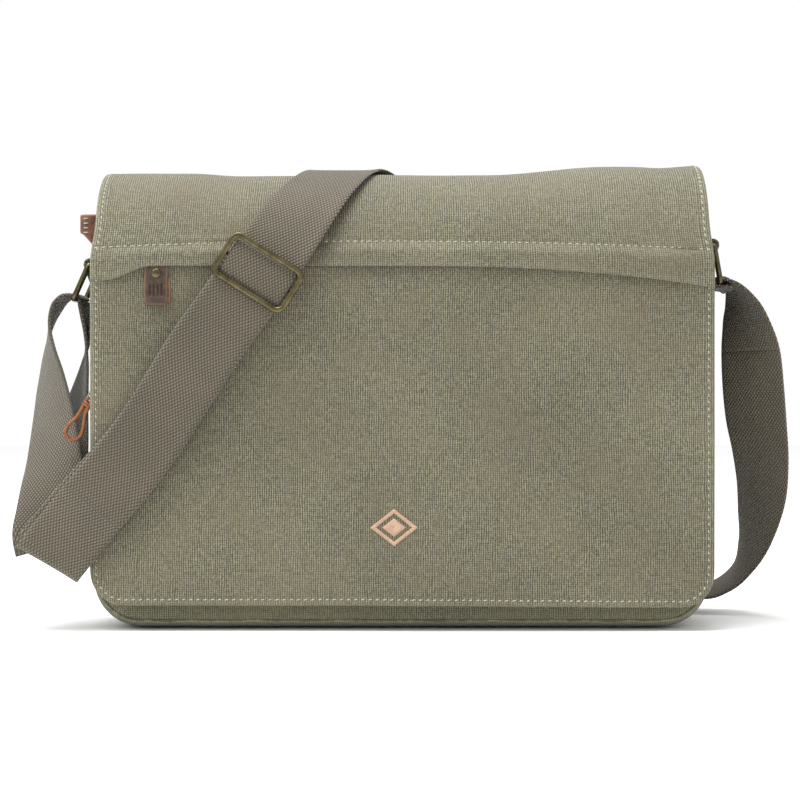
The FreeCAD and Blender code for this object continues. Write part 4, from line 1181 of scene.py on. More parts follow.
def strap_point(z):
    """Middle of the strap's outer layer on the front of the bag, at a height."""
    y = FLAP_OUT_Y - SLIDER_OFF - STRAP_LEAN * (z - SLIDER_Z)
    share = min(max((z - FOLD_Z) / (BOW_TOP_Z - FOLD_Z), 0.0), 1.0)
    x = -100.9 + STRAP_SLOPE * (z - 232.0) + BOW * math.sin(math.pi * share) ** 2
    return Vector((x, y, z))


RUN_UP = unit((STRAP_SLOPE, -STRAP_LEAN, 1.0))
RUN_ACROSS = unit((1.0, 0.0, -STRAP_SLOPE))
RUN_OUT = RUN_UP.cross(RUN_ACROSS)
if RUN_OUT.y > 0:
    RUN_OUT = -RUN_OUT
LINE_AT_0 = strap_point(0.0).y
TOP_ARC_R = (APEX_Y - LINE_AT_0 + STRAP_LEAN * STRAP_TOP_Z) / (math.hypot(1, STRAP_LEAN) + STRAP_LEAN)
TOP_ARC_Z = STRAP_TOP_Z - TOP_ARC_R
TOP_ARC_LOW = math.atan(STRAP_LEAN)
TANGENT_Z = TOP_ARC_Z - TOP_ARC_R * math.sin(TOP_ARC_LOW)
BACK_ARC_R = STRAP_BACK_Y - APEX_Y
BACK_ARC_Z = STRAP_TOP_Z - BACK_ARC_R


def over_crown(share):
    """A station from the front tangent (0) over the crown (0.5) to the back seam (1)."""
    if share <= 0.5:
        t = share * 2
        sweep = math.pi / 2 + TOP_ARC_LOW
        angle = math.pi + TOP_ARC_LOW - t * sweep
        y, z = APEX_Y + TOP_ARC_R * math.cos(angle), TOP_ARC_Z + TOP_ARC_R * math.sin(angle)
        start = strap_point(TANGENT_Z).x
        slope = STRAP_SLOPE * TOP_ARC_R * sweep
        rest = CROWN_X - start - slope
        x = start + slope * t + rest * t * t
        dx, ds = slope + 2 * rest * t, TOP_ARC_R * sweep
    else:
        t = share * 2 - 1
        angle = math.pi / 2 * (1 - t)
        y, z = APEX_Y + BACK_ARC_R * math.cos(angle), BACK_ARC_Z + BACK_ARC_R * math.sin(angle)
        x = CROWN_X + (BACK_X - CROWN_X) * t
        dx, ds = BACK_X - CROWN_X, BACK_ARC_R * math.pi / 2
    ahead = Vector((0, math.sin(angle), -math.cos(angle)))
    return Vector((x, y, z)), unit(Vector((1, 0, 0)) - ahead * (dx / ds))


LEFT_OUTER = [
    ((-237.6, -60.5, 66.0), (0.98, -0.02, -0.17)),
    ((-236.8, -55.5, 80.0), (0.96, -0.18, -0.14)),
    ((-236.4, -48.5, 97.0), (0.93, -0.34, -0.08)),
    ((-236.8, -40.5, 115.0), (0.85, -0.53, -0.04)),
    ((-238.6, -32.0, 133.0), (0.74, -0.67, 0.0)),
    ((-240.8, -24.0, 151.0), (0.62, -0.78, 0.0)),
    ((-243.2, -17.0, 169.0), (0.49, -0.87, 0.0)),
    ((-245.2, -11.5, 186.0), (0.32, -0.95, 0.0)),
    ((-245.4, -8.0, 199.0), (0.18, -0.98, 0.0)),
    ((-243.8, -6.0, 210.5), (0.08, -1.0, 0.0)),
    ((-240.0, -5.0, 220.0), (0.0, -1.0, 0.0)),
    ((-235.6, -5.0, 225.6), (0.0, -1.0, 0.0)),
    ((-231.6, -5.0, 227.8), (0.0, -1.0, 0.0)),
]
# The same, for the length that hangs from the ring's inner side, behind it:
LEFT_INNER = [
    ((-233.2, -57.8, 62.0), (0.90, -0.03, -0.42)),
    ((-233.4, -50.2, 78.0), (0.88, -0.27, -0.30)),
    ((-233.6, -40.0, 97.0), (0.82, -0.52, -0.16)),
    ((-231.0, -29.5, 118.0), (0.70, -0.70, -0.08)),
    ((-227.8, -20.0, 139.0), (0.54, -0.84, 0.0)),
    ((-224.4, -12.5, 160.0), (0.37, -0.93, 0.0)),
    ((-221.4, -8.0, 177.0), (0.24, -0.97, 0.0)),
    ((-219.4, -6.0, 191.0), (0.13, -0.99, 0.0)),
    ((-218.6, -5.2, 203.0), (0.04, -1.0, 0.0)),
    ((-219.6, -5.0, 213.0), (0.0, -1.0, 0.0)),
    ((-221.0, -5.0, 220.3), (0.0, -1.0, 0.0)),
]
RIGHT_NECK = [
    ((225.6, -5.0, 237.7), (0.0, -1.0, 0.0)),
    ((231.5, -5.0, 233.3), (0.10, -1.0, 0.0)),
    ((236.0, -4.6, 224.5), (0.30, -0.95, 0.0)),
    ((239.5, -4.0, 212.0), (0.53, -0.85, 0.0)),
    ((243.5, -2.0, 190.0), (0.76, -0.65, 0.0)),
]
RIGHT_DRAPE = [
    ((246.0, 2.0, 165.0), (0.81, -0.58, 0.0)),
    ((249.0, 8.0, 141.0), (0.79, -0.60, 0.0)),
    ((253.5, 18.0, 116.0), (0.72, -0.67, -0.12)),
    ((256.0, 31.0, 90.0), (0.60, -0.75, -0.25)),
    ((253.6, 45.0, 63.5), (0.37, -0.88, -0.30)),
    ((248.6, 58.0, 42.5), (0.08, -0.95, -0.30)),
    ((240.5, 68.5, 26.5), (-0.10, -0.97, -0.20)),
    ((226.0, 77.0, 16.5), (-0.05, -0.98, -0.10)),
    ((203.0, 82.0, 13.0), (0.0, -1.0, -0.03)),
    ((173.0, 82.5, 20.0), (0.0, -1.0, 0.05)),
    ((142.0, 79.0, 43.0), (0.12, -0.93, 0.22)),
    ((119.0, 71.5, 80.0), (0.50, -0.70, 0.45)),
    ((94.0, 63.5, 124.0), (0.76, -0.30, 0.55)),
    ((66.0, 58.8, 172.0), (0.85, -0.05, 0.50)),
    ((36.0, 57.6, 220.0), (0.87, 0.0, 0.49)),
]


def eased(stations, steps):
    """A Catmull-Rom run through given stations of (centre, width direction)."""
    points = []
    last = len(stations) - 1
    for i in range(last):
        four = [stations[min(max(i + k, 0), last)] for k in (-1, 0, 1, 2)]
        for j in range(steps if i < last - 1 else steps + 1):
            t = j / steps
            weights = ((-t + 2 * t * t - t ** 3) / 2, (2 - 5 * t * t + 3 * t ** 3) / 2,
                       (t + 4 * t * t - 3 * t ** 3) / 2, (t ** 3 - t * t) / 2)
            blended = [sum((Vector(s[part]) * w for w, s in zip(weights, four)), Vector()) for part in (0, 1)]
            points.append((blended[0], blended[1]))
    return points


def turned_about(middle, radius, across, start_dir, degrees, steps=8):
    found = []
    for i in range(steps + 1):
        turn = Matrix.Rotation(math.radians(degrees * i / steps), 3, unit(across))
        found.append((middle + (turn @ Vector(start_dir)) * radius, Vector(across)))
    return found


def fold_stations(layer, radius, skew, aside=0.0, z=FOLD_Z):
    """The strap's turn at the lower left: down the front, round a slightly skewed edge, up behind."""
    edge = Matrix.Rotation(math.radians(skew), 3, RUN_OUT) @ RUN_ACROSS
    if edge.z < RUN_ACROSS.z:
        edge = Matrix.Rotation(math.radians(-skew), 3, RUN_OUT) @ RUN_ACROSS
    start = strap_point(z) - RUN_ACROSS * aside - RUN_OUT * layer
    middle = start - RUN_OUT * radius
    along_edge = -RUN_UP.dot(edge)
    drift = math.pi * radius * along_edge / math.sqrt(1 - along_edge ** 2)
    for turn in (180, -180):
        found = turned_about(middle, radius, edge, RUN_OUT, turn, 12)
        if found[6][0].z < middle.z:
            return [(centre + edge * (drift * i / 12), side) for i, (centre, side) in enumerate(found)]


def web_profile(width=WEB_WIDTH, thick=WEB_THICK, across=14):
    """Webbing's cross-section: flat faces, rounded selvedges that are a little thicker."""
    half, deep = width / 2, thick / 2
    top = []
    for i in range(across + 1):
        a = -half + deep + (width - 2 * deep) * i / across
        lip = 0.16 * math.exp(-((half - abs(a)) / 1.8) ** 2)
        top.append((a, deep + lip))
    return top + [(half, 0.0)] + [(a, -b) for a, b in top[::-1]] + [(-half, 0.0)]


def web_piece(name, frames, body, replaced=(), width=WEB_WIDTH, thick=WEB_THICK, start_along=0.0):
    """A length of webbing along framed stations; start_along carries the weave on from a piece before."""
    profile = web_profile(width, thick)
    points, coords = [], []
    along = start_along
    for i, (centre, side, up) in enumerate(frames):
        if i:
            along += (centre - frames[i - 1][0]).length
        for a, b in profile:
            points.append(centre + side * a + up * b)
            coords.append((a + 2 * width * (b < 0), along, 0.0))
    made = mesh_object(name, points, tube_faces(len(frames), len(profile)), coords)
    if made.data.polygons[2].normal.dot(frames[0][2]) < 0:
        made.data.flip_normals()
    finish_piece(made, body, MATERIAL["webbing"], replaced)
    made["along"] = along
    return made


def weigh(obj, weight_of):
    """Bakes a piece's placement into its points and works out a weight for each point; the weights are not
    kept.
    """
    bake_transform(obj)
    weights = [weight_of(v.co * 1000, i) for i, v in enumerate(obj.data.vertices)]
    return obj



def strap():
    """The strap from the right ring over the bag to the left ring."""
    back_across = Vector((0.88, 0.0, 0.46))
    low_x = BACK_X + BACK_RISE_SLOPE * (BACK_RUN_END - 6)
    low = (Vector((low_x, STRAP_BACK_Y, BACK_ARC_Z - BACK_RUN_END)), back_across)
    seam = (Vector((BACK_X, STRAP_BACK_Y, BACK_ARC_Z - 6)), back_across)
    drape = eased(RIGHT_NECK + RIGHT_DRAPE + [low], 8)
    bend = eased([low, seam, over_crown(1.0)], 4)[1:]
    bend += [over_crown(1.0 - (1.0 - HINGE_SHARE) * i / 6) for i in range(1, 7)]
    crown = [over_crown(HINGE_SHARE * (1 - i / 60)) for i in range(1, 61)]
    run = [(strap_point(z), RUN_ACROSS) for z in spread(TANGENT_Z, FLAP_EDGE_Z, 50)[1:]]
    fold = fold_stations(0.0, FOLD_R, FOLD_SKEW)
    bar = ring_facts(-1)[2]
    at_ring = (Vector((bar.x + WEB_BEND_R, bar.y, bar.z - 0.4)), Vector((0.0, -1.0, 0.0)))
    climb = eased(fold[-1:] + LEFT_INNER + [at_ring], 8)
    whole = framed(drape + bend + crown + run + fold + climb[1:])
    each = len(web_profile())
    neck_end = 8 * (len(RIGHT_NECK) - 1) + 1
    drape_end = len(drape)
    bend_end = drape_end + len(bend)
    run_end = bend_end + len(crown) + len(run)
    neck = web_piece("strap_neck", whole[:neck_end], None, ["strap_right_neck"])
    weigh(neck, lambda _, i: 1 - smooth(i // each / (neck_end - 1)))
    back = web_piece("strap_back", whole[neck_end - 1:drape_end], "bag", ["strap_back_run"],
                     start_along=neck["along"])
    bent = web_piece("strap_over_seam", whole[drape_end - 1:bend_end], None, ["strap_hinge_bend"],
                     start_along=back["along"])
    weigh(bent, lambda _, i: smooth(i // each / len(bend)))
    lower_crown(bent)
    front = web_piece("strap_front", whole[bend_end - 1:run_end], "flap", ["strap_top_run", "strap_front_run"],
                      start_along=bent["along"])
    lower_crown(front)
    left_loop("strap_left_inner_cloth", whole[run_end - 1:], "strap_left_inner", front["along"])


def strap_second_layer():
    """The layer under the strap, from the adjuster down and round the lower fold to the left ring."""
    depths = ((226.0, 5.2), (200.0, 5.0), (165.0, 4.6))
    run = [(strap_point(z) - RUN_OUT * depth, RUN_ACROSS) for z, depth in depths]
    for z in (140.0, 128.0, 116.0, 104.0, 94.0, FLAP_EDGE_Z, 72.0, 61.0):
        aside = UNDER_ASIDE * smooth((150.0 - z) / 90.0)
        run.append((strap_point(z) - RUN_OUT * LAYER_GAP - RUN_ACROSS * aside, RUN_ACROSS))
    small_fold = fold_stations(LAYER_GAP, FOLD_R - LAYER_GAP, UNDER_FOLD_SKEW, UNDER_ASIDE, UNDER_FOLD_Z)
    climb = eased(small_fold[-1:] + LEFT_OUTER, 8)
    whole = framed(run + small_fold + climb[1:])
    under = web_piece("strap_under", whole[:len(run)], None, ["strap_under_run"])
    weigh(under, lambda p, _: smooth((p.z - 140.0) / 86.0))
    left_loop("strap_left_outer_cloth", whole[len(run) - 1:], "strap_left_outer", under["along"])


def lower_crown(obj):
    """Presses the strap's bend over the bag's top down onto the settled flap."""
    for vertex in obj.data.vertices:
        vertex.co.z -= 0.0019 * smooth((vertex.co.z * 1000 - 286.0) / 28.0)


def left_loop(name, frames, node, along):
    """The free loop at the left: it hangs from the ring at one end and from the flap at the other."""
    made = web_piece(name, frames, None, [node], start_along=along)
    lengths = path_steps([centre for centre, _, _ in frames])
    each = len(web_profile())
    weigh(made, lambda _, i: 1 - smooth((lengths[i // each] / lengths[-1] - 0.12) / 0.85))



def ring_facts(side):
    """A ring's name and the middles of its upper and lower bars, from its CAD node and joint."""
    name = ("left", "right")[side > 0]
    joint = next(j for j in frame["joints"] if j["name"] == name + "_ring_swing")
    top = Vector(joint["pos_m"]) * 1000
    low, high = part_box(name + "_ring")
    bottom_x = (low.x if side < 0 else high.x) * 1000 - side * RING_ROD_R
    return name, top, Vector((bottom_x, top.y, low.z * 1000 + RING_ROD_R))


def rings_and_tabs():
    """Both side rings, each with its sewn tab and the strap's turn round its lower bar."""
    half, corner = 26.5, 3.2
    across = Vector((0, 1, 0))
    for side in (-1, 1):
        name, top, bottom = ring_facts(side)
        down = unit(bottom - top)
        reach = (bottom - top).length
        corners = [(-half, 0), (half, 0), (half, reach), (-half, reach)]
        world = [top + across * p.x + down * p.y for p in rounded_loop(corners, corner, 6)]
        frames = loop_frames(world, across.cross(down))
        made = swept(name + "_ring_rod", frames, round_profile(RING_ROD_R, 16), loop=True)
        finish_piece(made, name + "_ring", MATERIAL["brass"], [name + "_ring"])
        ring_tab(side, name, top)
        ring_turn(side, name, bottom)


def ring_tab(side, name, bar):
    """A ring's webbing tab: up the gusset, over the ring's upper bar, down again and sewn in a crossed box."""
    inner_x, outer_x = side * 210.6, side * 212.6
    across = Vector((0, 1, 0))
    low_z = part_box(name + "_ring_tab")[0].z * 1000
    centres = [Vector((inner_x, bar.y, z)) for z in spread(low_z, bar.z - 6, 20)]
    centres += [centre for centre, _ in turned_about(bar, WEB_BEND_R, (0, side, 0), (-side, 0, 0), 195, 14)]
    centres.append(Vector((outer_x + side * 0.4, bar.y, bar.z - 12)))
    centres += [Vector((outer_x, bar.y, z)) for z in spread(bar.z - 18, low_z, 18)]
    frames = framed([(centre, across) for centre in centres])
    web_piece(name + "_tab_webbing", frames, "bag", [name + "_ring_tab"], thick=1.8)
    face = outer_x + side * 0.95
    front, back, low, high = bar.y - 20, bar.y + 20, low_z + 5, bar.z - 26
    rows = (("stitches_0", (front, low), (back, low)), ("stitches_1", (front, high), (back, high)),
            ("side_stitches_0", (front, low), (front, high)), ("side_stitches_1", (back, low), (back, high)),
            ("cross_a", (front, low), (back, high)), ("cross_b", (back, low), (front, high)))
    for label, start, stop in rows:
        line = [Vector((face,) + start), Vector((face,) + stop)]
        stitches(f"{name}_tab_{label}", line, "bag", (side, 0, 0), pitch=3.4, length=2.6)


def ring_turn(side, name, bar):
    """The webbing's turn round a ring's lower bar, which swings with the ring."""
    across = Vector((0, 1, 0))
    if side < 0:
        stations = [(bar + Vector((-6.3, 0, 3.3)), across)]
        stations += turned_about(bar, WEB_BEND_R, across, (-0.45, 0, 0.89), 112, 10)
    else:
        stations = [(bar + Vector((dx, 0, dz)), across) for dx, dz in ((6.6, 1.6), (3.4, WEB_BEND_R - 0.3))]
        stations += turned_about(bar, WEB_BEND_R, across, (0, 0, 1), -180, 12)
        stations += [(bar + Vector((dx, 0, dz)), across) for dx, dz in ((3.5, -3.1), (7.0, -3.6), (9.5, -5.2))]
    web_piece(name + "_ring_turn", framed(stations), name + "_ring", ["strap_" + name + "_turn"], thick=1.8)


def slider():
    """The adjuster: a brass frame over the strap, its middle bar beneath, and the sewn end loop."""
    middle = strap_point(SLIDER_Z)
    skew = Matrix.Rotation(math.radians(4.0), 3, RUN_OUT)
    x_axis, y_axis, z_axis = skew @ RUN_ACROSS, skew @ RUN_UP, RUN_OUT
    high = 4.5
    half_x, half_y = 26.4, 14.9
    corners = [(-half_x, -half_y), (half_x, -half_y), (half_x, half_y), (-half_x, half_y)]
    path = rounded_loop(corners, 5.0, 7)
    world = [middle + x_axis * p.x + y_axis * p.y + z_axis * (high - 1.5) for p in path]
    section = [(-2.0, -1.0), (-1.6, -1.35), (1.6, -1.35), (2.0, -1.0), (2.0, 0.5), (1.7, 1.1), (0.9, 1.5),
               (-0.9, 1.5), (-1.7, 1.1), (-2.0, 0.5)]
    made = swept("strap_slider_frame", loop_frames(world, z_axis), section, loop=True)
    finish_piece(made, "strap_adjuster", MATERIAL["brass"], ["strap_slider"])
    bar_r, bar_z = 1.2, -6.7
    corners = ((-half_x, high - 2.2), (-half_x, bar_z + 1.4), (1.0 - half_x, bar_z), (half_x - 1.0, bar_z),
               (half_x, bar_z + 1.4), (half_x, high - 2.2))
    rod = [middle + x_axis * a + z_axis * b for a, b in corners]
    line = []
    for p, q in zip(rod, rod[1:]):
        line += [p.lerp(q, t) for t in spread(0, 1, 7)[:-1]]
    line.append(rod[-1])
    made = swept("strap_slider_bar", framed([(p, y_axis) for p in line]), round_profile(bar_r, 12))
    finish_piece(made, "strap_adjuster", MATERIAL["brass"])
    centre = middle + z_axis * bar_z
    radius = bar_r + 1.15
    over = turned_about(centre, radius, x_axis, z_axis, 180, 10)
    if (over[5][0] - centre).dot(y_axis) < 0:
        over = turned_about(centre, radius, x_axis, z_axis, -180, 10)
    first = (centre + y_axis * -9.0 + z_axis * (radius - 0.1), x_axis)
    last = (centre + y_axis * -16.0 - z_axis * (radius - 0.4), x_axis)
    web_piece("strap_end_loop_cloth", framed([first] + over + [last]), "strap_adjuster", ["strap_end_loop"],
              width=45.0, thick=1.8)
    hump = []
    reach = 12.6
    for t in spread(-reach, reach, 15):
        rise = 1.25 + 1.3 * math.cos(t / reach * math.pi / 2) - 2.2 * smooth((abs(t) - 10.4) / 2.2)
        drop = 0.0 if t < 0 else -0.0072 * t * t
        hump.append((middle + y_axis * t + z_axis * (rise + drop), x_axis))
    web_piece("strap_hump", framed(hump), "strap_adjuster", width=WEB_WIDTH - 0.6, thick=1.4, start_along=1.0)


# ---------------------------------------------------------------- leather and pulls
def leather_plate(name, outline, face_point, thick, body, material, replaced, grooves=(), levels=1):
    """A leather piece from a grid of (a, b) spots: face_point places one at a height above its back."""
    sheet = Sheet()
    for row in outline:
        rows = sheet.new_row()
        for a, b, edge in row:
            round_over = 0.0 if edge > 1.0 else 0.45 * (1 - edge) ** 2
            dip = sum(depth * math.exp(-((a - centre) / 0.42) ** 2) * (low < b < high)
                      for centre, low, high, depth in grooves)
            rows[0].append(face_point(a, b, thick - round_over - dip))
            rows[1].append(face_point(a, b, 0.25 * round_over))
            rows[2].append((a, b, max(0.0, 1 - edge / 1.7)))
    made = slab(name, sheet, levels)
    return finish_piece(made, body, material, replaced)


def plate_grid(half, low, high, corner_low=0.0, corner_high=0.0, columns=22, rows=26):
    """Rows of (a, b, distance to the edge) over a plate with rounded corners."""
    grid = []
    ends = [0, 0.012, 0.03, 0.06]
    shares = ends + spread(0.1, 0.9, rows) + [1 - e for e in ends[::-1]]
    sides = [-1, -0.97, -0.92, -0.85] + spread(-0.78, 0.78, columns) + [0.85, 0.92, 0.97, 1]
    for t in shares:
        b = low + (high - low) * t
        near_low, near_high = b - low, high - b
        wide = min(rounded_half(half, corner_low, near_low), rounded_half(half, corner_high, near_high))
        row = []
        for c in sides:
            a = c * wide
            row.append((a, b, min(wide - abs(a), near_low, near_high)))
        grid.append(row)
    return grid


def flap_pull():
    """The folded leather pull under the lip, with pressed grooves and a domed brass rivet."""
    low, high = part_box("flap_pull_leather")
    x = (low.x + high.x) / 2 * 1000
    z0, z1 = low.z * 1000, high.z * 1000
    back_y = high.y * 1000
    grooves = [(dx, 5.5, 14.5, 0.8) for dx in (-3.9, -1.3, 1.3, 3.9)]

    def spot(a, b, height):
        curl = 0.5 * math.cos(b / 9.0)
        swell = 0.5 * math.exp(-((b - 3.0) / 4.0) ** 2)
        y = back_y - height - (swell if height > 1 else 0) - 0.1 * curl
        return Vector((x + a - 0.35 * math.sin(b / 8.0), y, z0 + b))

    grid = plate_grid(7.9, 0.0, z1 - z0 + 1.8, corner_low=3.2, columns=56)
    leather_plate("flap_pull_hide", grid, spot, 2.7, "flap_zip_pull", MATERIAL["dark_leather"],
                  ["flap_pull_leather"], grooves)

    def under_spot(a, b, height):
        return spot(a + 1.7 + 0.5 * math.sin(b / 5.0), b + 0.8, height * 0.5)

    grid = plate_grid(7.4, 0.6, z1 - z0 - 9.0, corner_low=2.6)
    leather_plate("flap_pull_backing", grid, under_spot, 1.6, "flap_zip_pull", MATERIAL["mid_leather"],
                  [])
    low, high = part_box("flap_pull_rivet")
    centre = Vector(((low.x + high.x) / 2 * 1000, low.y * 1000 + 0.6, (low.z + high.z) / 2 * 1000))
    dome("flap_pull_rivet_dome", centre, Vector((0, -1, 0)), 3.2, 1.1, "flap_zip_pull",
         MATERIAL["brass"], ["flap_pull_rivet"])


def dome(name, centre, out, radius, height, body, material, replaced=()):
    """A rivet head: a low dome with a rolled rim."""
    side = unit(out.orthogonal())
    other = out.cross(side)
    points = []
    rings = [(1.0, -0.8), (1.0, 0.0), (0.97, 0.16), (0.88, 0.34), (0.7, 0.62), (0.45, 0.86), (0.2, 0.97)]
    count = 28
    for share, up in rings:
        for k in range(count):
            a = 2 * math.pi * k / count
            outwards = side * math.cos(a) + other * math.sin(a)
            points.append(centre + outwards * radius * share + out * height * up)
    points.append(centre + out * height)
    faces = tube_faces(len(rings), count, caps=False)
    last = (len(rings) - 1) * count
    for k in range(count):
        faces.append((last + k, last + (k + 1) % count, len(points) - 1))
    faces.append(tuple(range(count))[::-1])
    made = mesh_object(name, points, faces)
    return finish_piece(made, body, material, replaced)


def front_pull():
    """A tan leather lace, doubled through the slider's link and knotted into a long loop."""
    low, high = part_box("front_pull_lace")
    joint = next(j for j in frame["joints"] if j["name"] == "front_pull_swing")
    pivot = Vector(joint["pos_m"]) * 1000
    lean = math.radians(26)
    down = Vector((-math.sin(lean), 0, -math.cos(lean)))
    across = Vector((math.cos(lean), 0, -math.sin(lean)))
    y = (low.y + high.y) / 2 * 1000
    origin = Vector((pivot.x, y, pivot.z))
    shape = [(-0.8, 8.0), (-1.9, 12.0), (-2.2, 18.0), (-3.0, 24.0), (-4.7, 29.0), (-5.4, 33.5),
             (-3.9, 37.4), (-0.4, 39.0), (3.2, 37.6), (5.0, 33.5), (4.6, 29.0), (3.0, 24.0), (1.7, 18.0),
             (1.9, 12.0), (1.2, 8.0)]
    stations = []
    for i, (a, d) in enumerate(shape):
        shift = 0.7 * math.sin(i * 0.9)
        stations.append((origin + across * a + down * d + Vector((0, shift, 0)), Vector((0, -1, 0))))
    frames = framed(eased(stations, 5))
    flat = []
    for t in spread(0, 2 * math.pi * 15 / 16, 16):
        c, s = math.cos(t), math.sin(t)
        flat.append((1.75 * math.copysign(abs(c) ** 0.6, c), 1.15 * math.copysign(abs(s) ** 0.6, s)))
    lace = swept("front_pull_lace_hide", frames, flat)
    finish_piece(lace, "front_zip_pull", MATERIAL["tan_leather"], ["front_pull_lace"])
    knot = []
    for i in range(26):
        a = i / 25 * 2.4 * 2 * math.pi
        centre = origin + down * (11.0 + 3.6 * i / 25)
        knot.append((centre + across * (2.6 * math.cos(a)) + Vector((0, 1.7 * math.sin(a), 0)), down))
    made = swept("front_pull_knot", framed(knot), round_profile(0.95, 10))
    finish_piece(made, "front_zip_pull", MATERIAL["tan_leather"])
    zip_link("front_pull_link_wire", origin, down, across, 1.0, 12.5, 2.0, "front_zip_pull",
             ["front_pull_link"])


def zip_link(name, origin, down, across, start, stop, half, body, replaced):
    """A small wire loop that joins a slider to its pull."""
    shape = arc(0.0, -start - half, half, 0, 180, 7) + arc(0.0, half - stop, half, 180, 360, 7)
    points = [origin + across * a - down * b for a, b in shape]
    frames = loop_frames(points, unit(across.cross(down)))
    made = swept(name, frames, round_profile(0.6, 8), loop=True)
    return finish_piece(made, body, MATERIAL["steel"], replaced)


def zip_slider(name, centre, ahead, out, body, replaced, scale=1.0):
    """A zip slider: a waisted body, a raised bridge and flared shoulders."""
    across = unit(ahead.cross(out))
    shape = [(-5.6, 2.9), (-4.6, 3.7), (-2.6, 3.6), (0.0, 3.2), (2.6, 4.0), (4.6, 4.6), (5.6, 3.8)]
    outline = shape + [(a, -b) for a, b in shape[::-1]]
    levels = [(0.0, 0.94), (0.25, 1.0), (1.1, 1.0), (1.5, 0.92), (1.62, 0.8)]
    points = []
    for height, shrink in levels:
        for a, b in outline:
            spot = centre + ahead * (a * shrink * scale) + across * (b * shrink * scale)
            points.append(spot + out * (height * scale))
    made = mesh_object(name + "_body", points, tube_faces(len(levels), len(outline)))
    finish_piece(made, body, MATERIAL["steel"], replaced)
    arch = []
    for t in spread(0, math.pi, 9):
        rise = 1.3 + 1.6 * math.sin(t) ** 0.7
        arch.append((centre + ahead * (2.6 * math.cos(t) * scale) + out * (rise * scale), across))
    made = swept(name + "_bridge", framed(arch), [(-0.9, -0.35), (0.9, -0.35), (0.9, 0.35), (-0.9, 0.35)])
    finish_piece(made, body, MATERIAL["steel"])


def node_centre(node):
    low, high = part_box(node)
    return (low + high) / 2 * 1000


def zip_hardware():
    """The four zips' sliders, and the leather pulls of the back and main zips."""
    right, up = Vector((1, 0, 0)), Vector((0, 0, 1))
    forward, backward = Vector((0, -1, 0)), Vector((0, 1, 0))
    flap_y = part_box("flap_zip_slider")[1].y * 1000
    sliders = (("front", forward, "y", FRONT_Y - 2.4, 1.0), ("back", backward, "y", BACK_Y + 2.4, 1.0),
               ("main", up, "z", BODY_TOP + 0.4, 1.0), ("flap", forward, "y", flap_y, 0.8))
    for name, out, axis, level, scale in sliders:
        node = name + "_zip_slider"
        place = node_centre(node)
        setattr(place, axis, level)
        zip_slider(name + "_slider", place, right, out, node, [node], scale)
    low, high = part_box("back_pull_leather")
    x = (low.x + high.x) / 2 * 1000
    z0, y0 = low.z * 1000, low.y * 1000

    def back_spot(a, b, height):
        return Vector((x - a, y0 + height, z0 + b))

    grid = plate_grid(6.4, 0.0, (high.z - low.z) * 1000, 3.0, 2.0)
    leather_plate("back_pull_hide", grid, back_spot, 2.3, "back_zip_pull", MATERIAL["dark_leather"],
                  ["back_pull_leather"], [(dx, 4.0, 15.0, 0.4) for dx in (-3.0, 0.0, 3.0)])
    top = Vector((x, y0 + 1.2, high.z * 1000 + 4.4))
    zip_link("back_pull_wire", top, -up, right, 0.0, 7.0, 1.8, "back_zip_pull", [])
    low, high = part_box("main_pull_leather")
    y, z_low = (low.y + high.y) / 2 * 1000, low.z * 1000

    def top_spot(a, b, height):
        return Vector((low.x * 1000 + b, y + a, z_low + height))

    grid = plate_grid(6.8, 0.0, (high.x - low.x) * 1000, 3.0, 2.0)
    leather_plate("main_pull_hide", grid, top_spot, 2.3, "main_zip_pull", MATERIAL["dark_leather"],
                  ["main_pull_leather"])
    low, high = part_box("main_pull_link")
    zip_link("main_pull_wire", Vector((high.x * 1000, y, (low.z + high.z) / 2 * 1000)), Vector((-1, 0, 0)),
             Vector((0, 1, 0)), 0.0, (high.x - low.x) * 1000 + 1.5, 2.2, "main_zip_pull", ["main_pull_link"])


